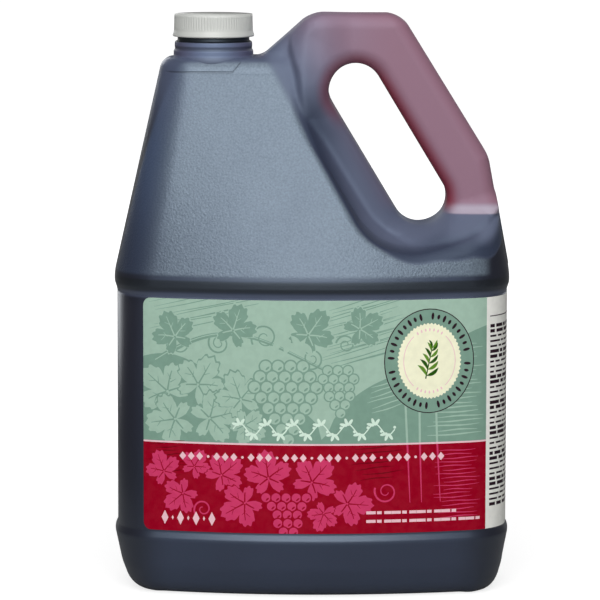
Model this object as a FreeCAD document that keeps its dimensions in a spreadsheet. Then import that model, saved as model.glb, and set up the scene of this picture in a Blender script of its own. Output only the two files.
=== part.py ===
"""A four litre handle jug of wine vinegar with a ribbed screw cap and a wrap label.

The jug is blow moulded, so its outer skin and its inside are the same form.  That form is built twice
by the same functions, once at the outer skin and once drawn in by the wall.  The jug is the first
less the second, and the vinegar is the second below the fill level.

Frame: +Z up, the handle towards +X, the label on the -Y face, origin at the middle of the base.
"""
import FreeCAD
import Part

import math
import os
import re

import Sketcher

SIZES = {
    # the body below the shoulder
    "body_width": 203.2, "body_depth": 113.0, "ridge_height": 163.0, "corner_radius": 28.0,
    "front_bow": 280.0, "side_bow": 170.0, "wall_thickness": 1.0, "core_inset": 22.0,
    # the heel and the base
    "heel_radius": 14.0, "heel_inset": 9.8, "heel_knee": 15.0, "knee_inset": 3.2,
    "knee_radius": 22.0, "heel_height": 29.2, "heel_crest": 6.0,
    "foot_inset": 25.0, "push_up": 3.0, "push_slope": 10.0, "push_corner": 6.0,
    # the sunk panel for the label
    "panel_depth": 1.3, "panel_low": 33.6, "panel_high": 154.6, "low_step": 2.9, "high_step": 4.0,
    "step_round": 3.0,
    # the shoulder, which leans in on every side
    "shoulder_rise": 110.0, "left_lean": 12.7, "right_lean": 10.5, "top_depth": 43.0,
    "top_corner": 17.0, "top_bow": 2200.0, "top_side_bow": 120.0, "top_round": 6.0,
    # the handle plate and the slot for the fingers
    "handle_rise": 132.1, "handle_half": 17.0, "bar_width": 26.8, "leg_width": 25.4,
    "crown_width": 24.8, "bar_round": 11.0, "slot_radius": 14.0, "slot_lean": 31.8,
    "slot_rise": 39.0, "slot_round": 8.0, "crown_left": 17.0, "crown_right": 14.0,
    "elbow_round": 18.0, "crown_angle": 41.0, "plate_bury": 0.4, "plate_root": 12.0,
    "plate_foot": 6.0, "plate_deep": 20.0, "plate_inset": 30.0,
    # the recess that frees the handle from the shoulder
    "web_width": 9.0, "recess_left": 23.3, "recess_low": 9.7, "recess_corner": 42.0,
    "recess_slope": 18.0, "crease_round": 3.5, "recess_reach": 63.0, "recess_sink": 2.0,
    "recess_over": 60.0,
    # the neck, with its finish under the cap
    "neck_inboard": 26.1, "neck_gap": 4.0, "neck_proud": 1.5, "ring_proud": 0.7,
    "ring_low": 0.3, "ring_high": 4.0, "ring_round": 0.6, "neck_root": 14.0, "collar_high": 8.0,
    "finish_radius": 18.3, "finish_wall": 1.7, "fill_height": 11.0, "bore_over": 5.0,
    # the cap
    "cap_low": 9.3, "cap_height": 13.0, "cap_wall": 1.6, "cap_swell": 0.5, "cap_lip": 0.9,
    "cap_top": 1.8, "cap_chamfer": 0.8, "cap_band": 3.0, "cap_fit": 0.2, "rib_count": 60.0,
    "rib_radius": 0.6, "rib_depth": 0.35,
    # the label
    "label_low": 34.6, "label_high": 153.4, "label_film": 0.2, "label_corner": 4.0,
    "label_left": 12.7, "label_right": 14.0,
}

doc = FreeCAD.newDocument("VinegarJug")
sheet = doc.addObject("Spreadsheet::Sheet", "Sizes")
for row, (alias, number) in enumerate(SIZES.items(), start=1):
    sheet.set("A%d" % row, alias.replace("_", " "))
    sheet.set("B%d" % row, str(number))
    sheet.setAlias("B%d" % row, alias)
doc.recompute()


def linked(text):
    """Turn the size names in a formula into links to the sheet."""
    return re.sub(r"\b([a-z]+_[a-z_]+)\b", r"Sizes.\1", text)


def size(text):
    """Work out a formula in size names, as a plain number."""
    answer = sheet.evalExpression(linked(text))
    return float(getattr(answer, "Value", answer))


def bind(thing, name, text):
    """Drive one property of a document object by a formula in size names."""
    thing.setExpression(name, linked(text))


# Faces that meet at less than this count as smooth.
SHARP_DEGREES = 12.0

# Formulas that several pieces share.
TOP_Z = "(ridge_height + shoulder_rise)"
HANDLE_Z = "(ridge_height + handle_rise)"
LEFT_TOP = "(-body_width / 2 + shoulder_rise * tan(left_lean * 1deg))"
RIGHT_TOP = "(body_width / 2 - shoulder_rise * tan(right_lean * 1deg))"
NECK_X = "(%s + neck_inboard)" % LEFT_TOP
SLOT_LOW_Z = "(ridge_height + slot_rise)"
SLOT_LOW_X = "(body_width / 2 - slot_rise * tan(right_lean * 1deg) - slot_radius - leg_width)"
SLOT_HIGH_Z = "(%s - crown_width - slot_radius)" % HANDLE_Z
SLOT_HIGH_X = "(%s - (%s - %s) * tan(slot_lean * 1deg))" % (SLOT_LOW_X, SLOT_HIGH_Z, SLOT_LOW_Z)
BAR_X = "(%s + (slot_radius + bar_width) / cos(slot_lean * 1deg))" % SLOT_LOW_X
SIDE_X = "(body_width / 2 - plate_bury)"
NECK_RADIUS = "(finish_radius + neck_proud)"
RING_RADIUS = "(%s + ring_proud)" % NECK_RADIUS
CAP_RADIUS = "(finish_radius + cap_fit + cap_wall)"
VALLEY_X = "(%s + %s + neck_gap)" % (NECK_X, RING_RADIUS)


def new_body(label):
    """Start a PartDesign body."""
    body = doc.addObject("PartDesign::Body", label.title().replace(" ", ""))
    body.Label = label
    return body


def new_sketch(body, name, plane, away="0", across="0"):
    """Put a sketch on one of the body's own planes, moved along the plane's normal and its x axis."""
    sketch = body.newObject("Sketcher::SketchObject", name)
    origin = [one for one in body.Origin.OriginFeatures if one.Role == plane][0]
    sketch.AttachmentSupport = [(origin, "")]
    sketch.MapMode = "FlatFace"
    if away != "0":
        bind(sketch, "AttachmentOffset.Base.z", away)
    if across != "0":
        bind(sketch, "AttachmentOffset.Base.x", across)
    return sketch


def draw(sketch, pieces):
    """Draw a closed chain of lines and arcs, join its ends and tie every radius to the sheet.

    A piece is (Part geometry, radius formula or None).
    """
    first = sketch.GeometryCount
    for geometry, radius in pieces:
        index = sketch.addGeometry(geometry, False)
        if radius:
            place = sketch.addConstraint(Sketcher.Constraint("Radius", index, geometry.Radius))
            bind(sketch, "Constraints[%d]" % place, radius)
    for step, (geometry, _) in enumerate(pieces):
        after = (step + 1) % len(pieces)
        near = [(one.distanceToPoint(other), here, there)
                for here, one in enumerate(ends(geometry), start=1)
                for there, other in enumerate(ends(pieces[after][0]), start=1)]
        _, here, there = min(near)
        sketch.addConstraint(Sketcher.Constraint("Coincident", first + step, here, first + after, there))
    return sketch


def arc(centre, radius, start, end):
    """A turn to the left about a centre, from one angle to another, in radians."""
    circle = Part.Circle(FreeCAD.Vector(centre[0], centre[1], 0), FreeCAD.Vector(0, 0, 1), radius)
    return Part.ArcOfCircle(circle, start, end)


def line(start, end):
    """A straight line between two points of a sketch."""
    return Part.LineSegment(FreeCAD.Vector(start[0], start[1], 0), FreeCAD.Vector(end[0], end[1], 0))


def corner_centre(half_width, half_depth, corner, front, side):
    """Centre of the corner arc that runs tangent into the bowed front and the bowed side."""
    front_y = half_depth - front
    side_x = half_width - side
    reach_front = front - corner
    reach_side = side - corner
    apart = math.hypot(side_x, front_y)
    along = (reach_front ** 2 - reach_side ** 2 + apart ** 2) / (2 * apart)
    beside = math.sqrt(reach_front ** 2 - along ** 2)
    right, up = side_x / apart, -front_y / apart
    return (along * right + beside * up, front_y + along * up - beside * right)


def ring(middle, half_width, half_depth, corner, front, side, split=False):
    """A closed plan outline of eight bowed arcs, from formulas; split starts it at the right middle."""
    x = size(middle)
    radius = {name: size(text) for name, text in
              (("corner", corner), ("front", front), ("side", side))}
    wide, deep = size(half_width), size(half_depth)
    centre_x, centre_y = corner_centre(wide, deep, radius["corner"], radius["front"], radius["side"])
    side_x = wide - radius["side"]
    front_y = deep - radius["front"]
    tilt = math.atan2(centre_y, centre_x - side_x)
    turn = math.atan2(centre_y - front_y, centre_x)
    right = (x + side_x, 0.0)
    left = (x - side_x, 0.0)
    back = (x, front_y)
    face = (x, -front_y)
    half_turn = math.pi
    spans = [
        (right, "side", side, 0.0 if split else -tilt, tilt),
        ((x + centre_x, centre_y), "corner", corner, tilt, turn),
        (back, "front", front, turn, half_turn - turn),
        ((x - centre_x, centre_y), "corner", corner, half_turn - turn, half_turn - tilt),
        (left, "side", side, half_turn - tilt, half_turn + tilt),
        ((x - centre_x, -centre_y), "corner", corner, half_turn + tilt, half_turn + turn),
        (face, "front", front, half_turn + turn, 2 * half_turn - turn),
        ((x + centre_x, -centre_y), "corner", corner, 2 * half_turn - turn, 2 * half_turn - tilt),
    ]
    if split:
        spans.append((right, "side", side, 2 * half_turn - tilt, 2 * half_turn))
    return [(arc(where, radius[kind], start, end), text) for where, kind, text, start, end in spans]


def rounded(corners):
    """A closed outline through corners (x formula, y formula, radius formula), in order, leftwards."""
    points = [(size(x), size(y), size(r)) for x, y, r in corners]
    count = len(points)
    cuts = []
    for step in range(count):
        before, here, after = points[step - 1], points[step], points[(step + 1) % count]
        back = unit(here, before)
        ahead = unit(here, after)
        half = math.acos(max(-1.0, min(1.0, back[0] * ahead[0] + back[1] * ahead[1]))) / 2
        reach = here[2] / math.tan(half)
        leave = (here[0] + back[0] * reach, here[1] + back[1] * reach)
        join = (here[0] + ahead[0] * reach, here[1] + ahead[1] * reach)
        middle = unit((0, 0), (back[0] + ahead[0], back[1] + ahead[1]))
        far = here[2] / math.sin(half)
        cuts.append((leave, join, (here[0] + middle[0] * far, here[1] + middle[1] * far)))
    pieces = []
    for step in range(count):
        leave, join, centre = cuts[step]
        if points[step][2] > 0:
            pieces.append((turn_between(centre, points[step][2], leave, join), corners[step][2]))
        pieces.append((line(join, cuts[(step + 1) % count][0]), None))
    return pieces


def unit(start, end):
    """The direction from one point to another."""
    along = (end[0] - start[0], end[1] - start[1])
    length = math.hypot(*along)
    return (along[0] / length, along[1] / length)


def turn_between(centre, radius, leave, join):
    """The short arc about a centre from one point to another, turning either way."""
    start = math.atan2(leave[1] - centre[1], leave[0] - centre[0])
    end = math.atan2(join[1] - centre[1], join[0] - centre[0])
    if (end - start) % (2 * math.pi) <= math.pi:
        return arc(centre, radius, start, end)
    return arc(centre, radius, end, start)


def ends(geometry):
    """The two ends of a line or an arc."""
    return geometry.StartPoint, geometry.EndPoint


def edges_where(feature, test):
    """Names of the edges of a feature whose middle passes a test of its x, y and z."""
    names = []
    for number, edge in enumerate(feature.Shape.Edges, start=1):
        middle = edge.valueAt((edge.FirstParameter + edge.LastParameter) / 2)
        if test(middle):
            names.append("Edge%d" % number)
    return names


def sharp_edges(feature, test):
    """Names of the edges that pass a test and whose two faces meet at a clear angle."""
    names = []
    for number, edge in enumerate(feature.Shape.Edges, start=1):
        middle = edge.valueAt((edge.FirstParameter + edge.LastParameter) / 2)
        if not test(middle):
            continue
        normals = [face.normalAt(*face.Surface.parameter(middle))
                   for face in feature.Shape.ancestorsOfType(edge, Part.Face)]
        if len(normals) == 2 and math.degrees(normals[0].getAngle(normals[1])) > SHARP_DEGREES:
            names.append("Edge%d" % number)
    return names


def pad(body, name, sketch, length, middle=False):
    """Pad a sketch by a formula, to one side or to both."""
    feature = body.newObject("PartDesign::Pad", name)
    feature.Profile = sketch
    feature.Midplane = middle
    bind(feature, "Length", length)
    return feature


def cut_through(body, name, sketch):
    """Cut a sketch through the whole body, to both sides."""
    feature = body.newObject("PartDesign::Pocket", name)
    feature.Profile = sketch
    feature.Type = "ThroughAll"
    feature.Midplane = True
    return feature


def loft(body, name, kind, first, last):
    """Join two sketches by ruled faces, adding to the body or cutting it."""
    feature = body.newObject("PartDesign::%sLoft" % kind, name)
    feature.Profile = first
    feature.Sections = [last]
    feature.Ruled = True
    return feature


def round_edges(body, name, base, radius, test):
    """Round the edges of the last feature that pass a test."""
    doc.recompute()
    feature = body.newObject("PartDesign::Fillet", name)
    feature.Base = (base, edges_where(base, test))
    bind(feature, "Radius", radius)
    doc.recompute()
    return feature


def turned(body, name, sketch):
    """Turn a sketch once round its own upright axis."""
    feature = body.newObject("PartDesign::Revolution", name)
    feature.Profile = sketch
    feature.ReferenceAxis = (sketch, ["V_Axis"])
    feature.Angle = 360
    return feature


def fused(label, pieces):
    """Join bodies into one solid."""
    feature = doc.addObject("Part::MultiFuse", label.title().replace(" ", ""))
    feature.Label = label
    feature.Shapes = pieces
    feature.Refine = True
    return feature


def lower_body(name, skin):
    """The body from the base to the ridge: its side profile swept round the plan, and a core."""
    body = new_body(name + " lower body")
    wide = "body_width / 2 - " + skin
    deep = "body_depth / 2 - " + skin
    path = draw(new_sketch(body, name + "Path", "XY_Plane", away=skin),
                ring("0", wide, deep, "corner_radius - " + skin, "front_bow - " + skin,
                     "side_bow - " + skin, split=True))
    panel = wide + " - panel_depth"
    profile = draw(new_sketch(body, name + "Profile", "XZ_Plane"), rounded([
        (wide + " - core_inset", skin, "0"),
        (wide + " - heel_inset", skin, "heel_radius - " + skin),
        (wide + " - knee_inset", "heel_knee", "knee_radius - " + skin),
        (wide, "heel_height", "heel_crest - " + skin),
        (wide, "panel_low - low_step", "step_round - " + skin),
        (panel, "panel_low", "step_round + " + skin),
        (panel, "panel_high", "step_round + " + skin),
        (wide, "panel_high + high_step", "step_round - " + skin),
        (wide, "ridge_height", "0"),
        (wide + " - core_inset", "ridge_height", "0"),
    ]))
    sweep = body.newObject("PartDesign::AdditivePipe", name + "Wall")
    sweep.Profile = profile
    sweep.Spine = (path, ["Edge%d" % (step + 1) for step in range(9)])
    sweep.Mode = "Frenet"
    core = draw(new_sketch(body, name + "Core", "XY_Plane", away=skin),
                ring("0", wide + " - core_inset + 1", deep + " - core_inset + 1",
                     "corner_radius - core_inset + 1 - " + skin, "front_bow - core_inset + 1",
                     "side_bow - core_inset + 1"))
    pad(body, name + "Fill", core, "ridge_height - " + skin)
    levels = []
    for level, away in (("0", skin), ("1", "push_up + " + skin)):
        inset = " - foot_inset - push_slope * %s + " % level + skin
        levels.append(draw(new_sketch(body, name + "Push" + level, "XY_Plane", away=away),
                           ring("0", "body_width / 2" + inset, "body_depth / 2" + inset, "push_corner",
                                "front_bow", "side_bow")))
    loft(body, name + "PushUp", "Subtractive", *levels)
    return body


def shoulder(name, skin):
    """The leaning shoulder, rounded at the top and cut back from the handle on both faces."""
    body = new_body(name + " shoulder")
    low = draw(new_sketch(body, name + "ShoulderLow", "XY_Plane", away="ridge_height"),
               ring("0", "body_width / 2 - " + skin, "body_depth / 2 - " + skin,
                    "corner_radius - " + skin, "front_bow - " + skin, "side_bow - " + skin))
    high = draw(new_sketch(body, name + "ShoulderHigh", "XY_Plane", away=TOP_Z + " - " + skin),
                ring("(%s + %s) / 2" % (LEFT_TOP, RIGHT_TOP),
                     "(%s - %s) / 2 - %s" % (RIGHT_TOP, LEFT_TOP, skin), "top_depth / 2 - " + skin,
                     "top_corner - " + skin, "top_bow", "top_side_bow"))
    block = loft(body, name + "Block", "Additive", high, low)
    top = size(TOP_Z + " - " + skin)
    round_edges(body, name + "TopRound", block, "top_round - " + skin, lambda at: abs(at.z - top) < 0.01)
    cut_through(body, name + "Clear", recess_outline(body, name + "Web", "0", skin, "0"))
    for side, sign in (("Front", "1"), ("Back", "-1")):
        near = "%s * (handle_half - recess_sink)" % sign
        far = "%s * recess_reach" % sign
        inner = recess_outline(body, name + side + "Inner", "0", skin, near)
        outer = recess_outline(body, name + side + "Outer", "1", skin, far)
        loft(body, name + side + "Recess", "Subtractive", inner, outer)
    doc.recompute()
    depth = size("handle_half")
    low = size("ridge_height") + 1.0
    cut = body.Tip
    crease = body.newObject("PartDesign::Fillet", name + "Crease")
    crease.Base = (cut, sharp_edges(cut, lambda at: abs(at.y) > depth and at.z > low))
    bind(crease, "Radius", "crease_round - " + skin)
    doc.recompute()
    return body


def recess_outline(body, name, flare, skin, away):
    """Outline of the recess beside the slot; a flare of 1 is the outline at its full reach.

    The left edge runs along the slot, the lower one rises a little to the right.
    """
    left = "(slot_radius + web_width + %s + %s * recess_left)" % (skin, flare)
    low = "(slot_radius + web_width + %s + %s * recess_low)" % (skin, flare)
    corner = ("(slot_radius + web_width + %s + %s * (recess_corner - slot_radius - web_width))"
              % (skin, flare))
    floor_z = "%s - %s" % (SLOT_LOW_Z, low)
    edge_x = "%s - %s / cos(slot_lean * 1deg)" % (SLOT_LOW_X, left)
    over_z = TOP_Z + " + recess_over"
    slope = "(1 - %s) * tan(recess_slope * 1deg)" % flare
    corner_x = "%s + %s * tan(slot_lean * 1deg)" % (edge_x, low)
    return draw(new_sketch(body, name, "XZ_Plane", away=away), rounded([
        (corner_x, floor_z, corner),
        ("body_width", "%s + (body_width - (%s)) * %s" % (floor_z, corner_x, slope), "0"),
        ("body_width", over_z, "0"),
        ("%s - (%s - %s) * tan(slot_lean * 1deg)" % (edge_x, over_z, SLOT_LOW_Z), over_z, "0"),
    ]))


def handle_plate(name, skin):
    """The plate of the handle: its outline and its finger slot, all edges rounded."""
    body = new_body(name + " handle")
    half = "handle_half - " + skin
    crown_z = HANDLE_Z + " - " + skin
    rise_x = "(%s + %s / sin(crown_angle * 1deg))" % (VALLEY_X, skin)
    bar_x = "(%s - %s / cos(slot_lean * 1deg))" % (BAR_X, skin)
    side_x = "(%s - %s)" % (SIDE_X, skin)
    elbow_z = ("((%s - %s + %s * tan(slot_lean * 1deg) - ridge_height * tan(right_lean * 1deg))"
               " / (tan(slot_lean * 1deg) - tan(right_lean * 1deg)))" % (bar_x, side_x, SLOT_LOW_Z))
    outline = draw(new_sketch(body, name + "Outline", "XZ_Plane"), rounded([
        ("%s - plate_root / tan(crown_angle * 1deg)" % rise_x, TOP_Z + " - plate_root", "0"),
        ("%s + (%s - %s) / tan(crown_angle * 1deg)" % (rise_x, crown_z, TOP_Z), crown_z,
         "crown_left - " + skin),
        ("%s - (%s - %s) * tan(slot_lean * 1deg)" % (bar_x, crown_z, SLOT_LOW_Z), crown_z,
         "crown_right - " + skin),
        ("%s - (%s - %s) * tan(slot_lean * 1deg)" % (bar_x, elbow_z, SLOT_LOW_Z), elbow_z,
         "elbow_round - " + skin),
        ("%s - plate_foot * tan(right_lean * 1deg)" % side_x, "ridge_height + plate_foot", "0"),
        ("body_width / 2 - plate_inset", "ridge_height - plate_deep", "0"),
        ("0", "ridge_height - plate_deep", "0"),
    ]))
    plate = pad(body, name + "Plate", outline, "2 * (%s)" % half, middle=True)
    depth = size(half)
    foot = size("ridge_height + plate_foot")
    left = size(VALLEY_X)
    doc.recompute()
    outer = round_edges(body, name + "BarRound", plate, "bar_round - " + skin,
                        lambda at: abs(abs(at.y) - depth) < 0.01 and at.z > foot and
                        above_plate(at, left))
    cut_through(body, name + "Slot", slot_outline(body, name + "SlotOutline", "slot_radius + " + skin))
    doc.recompute()
    slot = body.Tip
    radius = size("slot_radius + " + skin)
    round_edges(body, name + "SlotRound", slot, "slot_round - " + skin,
                lambda at: abs(abs(at.y) - depth) < 0.01 and slot_distance(at) < radius + 0.01)
    return body


def above_plate(point, left):
    """Whether an edge of the plate lies on its free side and not on the side in the shoulder."""
    start = (left, size(TOP_Z))
    low = (0.0, size("ridge_height - plate_deep"))
    return (point.x - low[0]) * (start[1] - low[1]) - (point.z - low[1]) * (start[0] - low[0]) > 1.0


def slot_outline(body, name, radius):
    """The slot: two half rounds joined along its leaning axis."""
    low = (size(SLOT_LOW_X), size(SLOT_LOW_Z))
    high = (size(SLOT_HIGH_X), size(SLOT_HIGH_Z))
    turn = math.atan2(high[1] - low[1], high[0] - low[0]) + math.pi / 2
    wide = size(radius)
    side = (math.cos(turn) * wide, math.sin(turn) * wide)
    return draw(new_sketch(body, name, "XZ_Plane"), [
        (arc(high, wide, turn - math.pi, turn), radius),
        (line((high[0] + side[0], high[1] + side[1]), (low[0] + side[0], low[1] + side[1])), None),
        (arc(low, wide, turn, turn + math.pi), radius),
        (line((low[0] - side[0], low[1] - side[1]), (high[0] - side[0], high[1] - side[1])), None),
    ])


def slot_distance(point):
    """How far a point is from the axis of the slot, seen from the front."""
    low = FreeCAD.Vector(size(SLOT_LOW_X), 0, size(SLOT_LOW_Z))
    high = FreeCAD.Vector(size(SLOT_HIGH_X), 0, size(SLOT_HIGH_Z))
    flat = FreeCAD.Vector(point.x, 0, point.z)
    return Part.makeLine(low, high).distToShape(Part.Vertex(flat))[0]


def neck_outside(name):
    """The neck: a collar with its ring, and the finish that goes up into the cap."""
    body = new_body(name + " neck")
    lip = TOP_Z + " + cap_low + cap_height - cap_top"
    turned(body, name + "Neck", draw(new_sketch(body, name + "NeckProfile", "XZ_Plane", across=NECK_X),
                                     rounded([
        ("0", TOP_Z + " - neck_root", "0"),
        (NECK_RADIUS, TOP_Z + " - neck_root", "0"),
        (NECK_RADIUS, TOP_Z + " + ring_low", "0"),
        (RING_RADIUS, TOP_Z + " + ring_low", "ring_round"),
        (RING_RADIUS, TOP_Z + " + ring_high", "ring_round"),
        (NECK_RADIUS, TOP_Z + " + ring_high", "0"),
        (NECK_RADIUS, TOP_Z + " + collar_high", "ring_round"),
        ("finish_radius", TOP_Z + " + collar_high", "0"),
        ("finish_radius", lip, "ring_round"),
        ("0", lip, "0"),
    ])))
    return body


def neck_inside(name):
    """The bore of the neck, which runs out past the lip."""
    body = new_body(name + " bore")
    lip = TOP_Z + " + cap_low + cap_height - cap_top"
    turned(body, name + "Bore", draw(new_sketch(body, name + "BoreProfile", "XZ_Plane", across=NECK_X),
                                     rounded([
        ("0", TOP_Z + " - neck_root - bore_over", "0"),
        ("finish_radius - finish_wall", TOP_Z + " - neck_root - bore_over", "0"),
        ("finish_radius - finish_wall", lip + " + bore_over", "0"),
        ("0", lip + " + bore_over", "0"),
    ])))
    return body


def jug_form(name, skin, neck):
    """The whole form of the jug, drawn in by a skin."""
    return fused(name + " form", [lower_body(name, skin), shoulder(name, skin), handle_plate(name, skin),
                                  neck])


def make_bottle(outside, inside):
    """The jug's wall: the outer form less the inside."""
    bottle = doc.addObject("Part::Cut", "Bottle")
    bottle.Label = "bottle"
    bottle.Base = outside
    bottle.Tool = inside
    return bottle


def make_vinegar(inside):
    """The vinegar: the inside of the jug up to the fill level."""
    room = doc.addObject("Part::Box", "BelowFill")
    bind(room, "Length", "2 * body_width")
    bind(room, "Width", "2 * body_depth")
    bind(room, "Height", TOP_Z + " + fill_height")
    bind(room, "Placement.Base.x", "-body_width")
    bind(room, "Placement.Base.y", "-body_depth")
    vinegar = doc.addObject("Part::Common", "Vinegar")
    vinegar.Label = "vinegar"
    vinegar.Base = inside
    vinegar.Tool = room
    return vinegar


def make_cap():
    """The screw cap: a hollow shell on the lip of the neck, fluted above a plain flared band."""
    body = new_body("cap")
    low = TOP_Z + " + cap_low"
    top = low + " + cap_height"
    band = low + " + cap_band"
    shell = turned(body, "CapShell", draw(new_sketch(body, "CapProfile", "XZ_Plane", across=NECK_X),
                                          rounded([
        ("0", top + " - cap_top", "0"),
        ("finish_radius + cap_fit", top + " - cap_top", "0"),
        ("finish_radius + cap_fit", low, "0"),
        (CAP_RADIUS, low, "0"),
        (CAP_RADIUS + " + cap_lip", low + " + cap_chamfer * 2", "0"),
        (CAP_RADIUS + " + cap_swell", band, "0"),
        (CAP_RADIUS, top, "cap_chamfer"),
        ("0", top, "0"),
    ])))
    doc.recompute()
    flute = new_sketch(body, "Flute", "XY_Plane", away=top, across=NECK_X)
    circle = Part.Circle(FreeCAD.Vector(size(CAP_RADIUS + " + rib_radius - rib_depth"), 0, 0),
                         FreeCAD.Vector(0, 0, 1), size("rib_radius"))
    flute.addGeometry(circle, False)
    place = flute.addConstraint(Sketcher.Constraint("Radius", 0, circle.Radius))
    bind(flute, "Constraints[%d]" % place, "rib_radius")
    groove = body.newObject("PartDesign::Pocket", "FluteCut")
    groove.Profile = flute
    bind(groove, "Length", "cap_height - cap_band")
    doc.recompute()
    if groove.Shape.Volume >= shell.Shape.Volume:
        raise RuntimeError("the flute cuts nothing")
    ribs = body.newObject("PartDesign::PolarPattern", "Flutes")
    ribs.Originals = [groove]
    ribs.Axis = (flute, ["N_Axis"])
    ribs.Angle = 360
    bind(ribs, "Occurrences", "rib_count")
    body.Tip = ribs
    return body


def make_label():
    """The label: a film on the sunk panel, from the left front corner round to the right side."""
    body = new_body("label")
    inner = label_line("0")
    outer = label_line("label_film")
    start = (inner[0][0], outer[0][0])
    end = (inner[-1][0], outer[-1][0])
    pieces = outer + [
        (line(pair_point(end[1], last=True), pair_point(end[0], last=True)), None),
    ] + list(reversed(inner)) + [
        (line(pair_point(start[0], last=False), pair_point(start[1], last=False)), None),
    ]
    strip = draw(new_sketch(body, "Strip", "XY_Plane", away="label_low"), pieces)
    pad(body, "Film", strip, "label_high - label_low")
    left = min(pair_point(inner[0][0], last=False)[0], pair_point(outer[0][0], last=False)[0])
    right = pair_point(outer[-1][0], last=True)[1]
    trim_corners(body, "LeftCorners", "XZ_Plane", left, 1)
    trim_corners(body, "RightCorners", "YZ_Plane", right, -1)
    return body


def trim_corners(body, name, plane, edge, inward):
    """Cut the two corners at one end of the label to a round; inward is the way to the label."""
    radius = size("label_corner")
    sketch = new_sketch(body, name, plane)
    for level, up in ((size("label_low"), 1), (size("label_high"), -1)):
        corner = (edge, level)
        along = (edge + inward * radius, level)
        beside = (edge, level + up * radius)
        draw(sketch, [
            (line(corner, along), None),
            (turn_between((along[0], beside[1]), radius, along, beside), "label_corner"),
            (line(beside, corner), None),
        ])
    cut_through(body, name + "Cut", sketch)


def pair_point(geometry, last):
    """The end or the start of an arc, as a pair."""
    point = geometry.EndPoint if last else geometry.StartPoint
    return (point.x, point.y)


def label_line(film):
    """The run of the label round the jug, a film's thickness off the panel."""
    off = " - panel_depth + " + film
    path = ring("0", "body_width / 2" + off, "body_depth / 2" + off, "corner_radius" + off,
                "front_bow" + off, "side_bow" + off)
    corner, face, right = path[5], path[6], path[7]
    side = path[0]
    centre = corner[0].Circle.Center
    first = 1.5 * math.pi - math.asin(size("label_left") / size("corner_radius - panel_depth"))
    final = math.asin(size("label_right") / size("side_bow - panel_depth"))
    return [
        (arc((centre.x, centre.y), corner[0].Radius, first, corner[0].LastParameter), corner[1]),
        face,
        right,
        (arc((side[0].Circle.Center.x, 0), side[0].Radius, side[0].FirstParameter, final), side[1]),
    ]


def main():
    """Build every piece, look for failures and write the files."""
    skins = {"Outer": "0", "Inner": "wall_thickness"}
    outside = jug_form("Outer", skins["Outer"], neck_outside("Outer"))
    inside = jug_form("Inner", skins["Inner"], neck_inside("Inner"))
    parts = {
        "bottle": make_bottle(outside, inside),
        "vinegar": make_vinegar(inside),
        "cap": make_cap(),
        "label": make_label(),
    }
    doc.recompute()
    for thing in doc.Objects:
        if "Invalid" in thing.State or "Error" in thing.State:
            raise RuntimeError("%s failed: %s" % (thing.Label, thing.State))
    os.makedirs("parts", exist_ok=True)
    for node, thing in parts.items():
        shape = thing.Shape
        if shape.isNull() or not shape.isValid() or len(shape.Solids) != 1:
            raise RuntimeError("%s isn't one sound solid" % node)
        shape.exportStep("parts/%s.step" % node)
        print("%s: %.1f cm3" % (node, shape.Volume / 1000))


main()
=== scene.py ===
"""Four-litre handled jug of red wine vinegar, dressed on its measured frame.

The jug is a blow-moulded translucent plastic bottle, dark with its drink, under a ribbed
white screw cap, with one printed film label wrapped from its front round to one side.
"""

import logging
import math
from dataclasses import astuple, dataclass, field
from enum import Enum
from typing import Iterable, Optional, Sequence

import bpy
import numpy as np
from mathutils import Matrix, Vector
from mathutils.geometry import delaunay_2d_cdt


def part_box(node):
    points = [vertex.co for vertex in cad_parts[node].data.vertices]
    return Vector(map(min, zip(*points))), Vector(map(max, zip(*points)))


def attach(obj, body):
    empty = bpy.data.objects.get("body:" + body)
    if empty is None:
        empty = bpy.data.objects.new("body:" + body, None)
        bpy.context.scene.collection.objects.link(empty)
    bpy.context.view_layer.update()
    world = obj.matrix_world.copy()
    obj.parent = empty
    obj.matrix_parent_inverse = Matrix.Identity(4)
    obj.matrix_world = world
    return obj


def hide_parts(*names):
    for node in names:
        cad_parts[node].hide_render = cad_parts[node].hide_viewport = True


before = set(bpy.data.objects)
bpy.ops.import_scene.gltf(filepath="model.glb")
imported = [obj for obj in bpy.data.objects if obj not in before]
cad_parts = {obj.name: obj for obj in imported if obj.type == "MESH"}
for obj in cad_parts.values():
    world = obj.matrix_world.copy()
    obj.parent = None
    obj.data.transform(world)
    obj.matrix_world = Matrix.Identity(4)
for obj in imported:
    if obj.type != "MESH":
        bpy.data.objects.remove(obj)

LOG = logging.getLogger("jug")
MM = 0.001
BODY = "root"
WHITE = (1.0, 1.0, 1.0)
# X of the neck's axis, in millimetres.
NECK_X = -50.71

Colour = tuple[float, float, float]
Place = tuple[float, float, float]
Pair = tuple[float, float]
# Where something starts and where it is full.
Span = Pair
# An open chain's corners: two coordinates and a radius each.
Corners = tuple[Place, ...]


def srgb(red: float, green: float, blue: float) -> Colour:
    """Turn a colour on the 0 to 255 display scale into linear light.

    Args:
        red: Red, 0 to 255.
        green: Green, 0 to 255.
        blue: Blue, 0 to 255.

    Returns:
        The colour's three linear channels.
    """
    share = np.array([red, green, blue], dtype=float) / 255.0
    linear = np.where(share <= 0.04045, share / 12.92, ((share + 0.055) / 1.055) ** 2.4)
    return tuple(float(channel) for channel in linear)


# ---------------------------------------------------------------------------------------
# Materials
# ---------------------------------------------------------------------------------------


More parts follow.
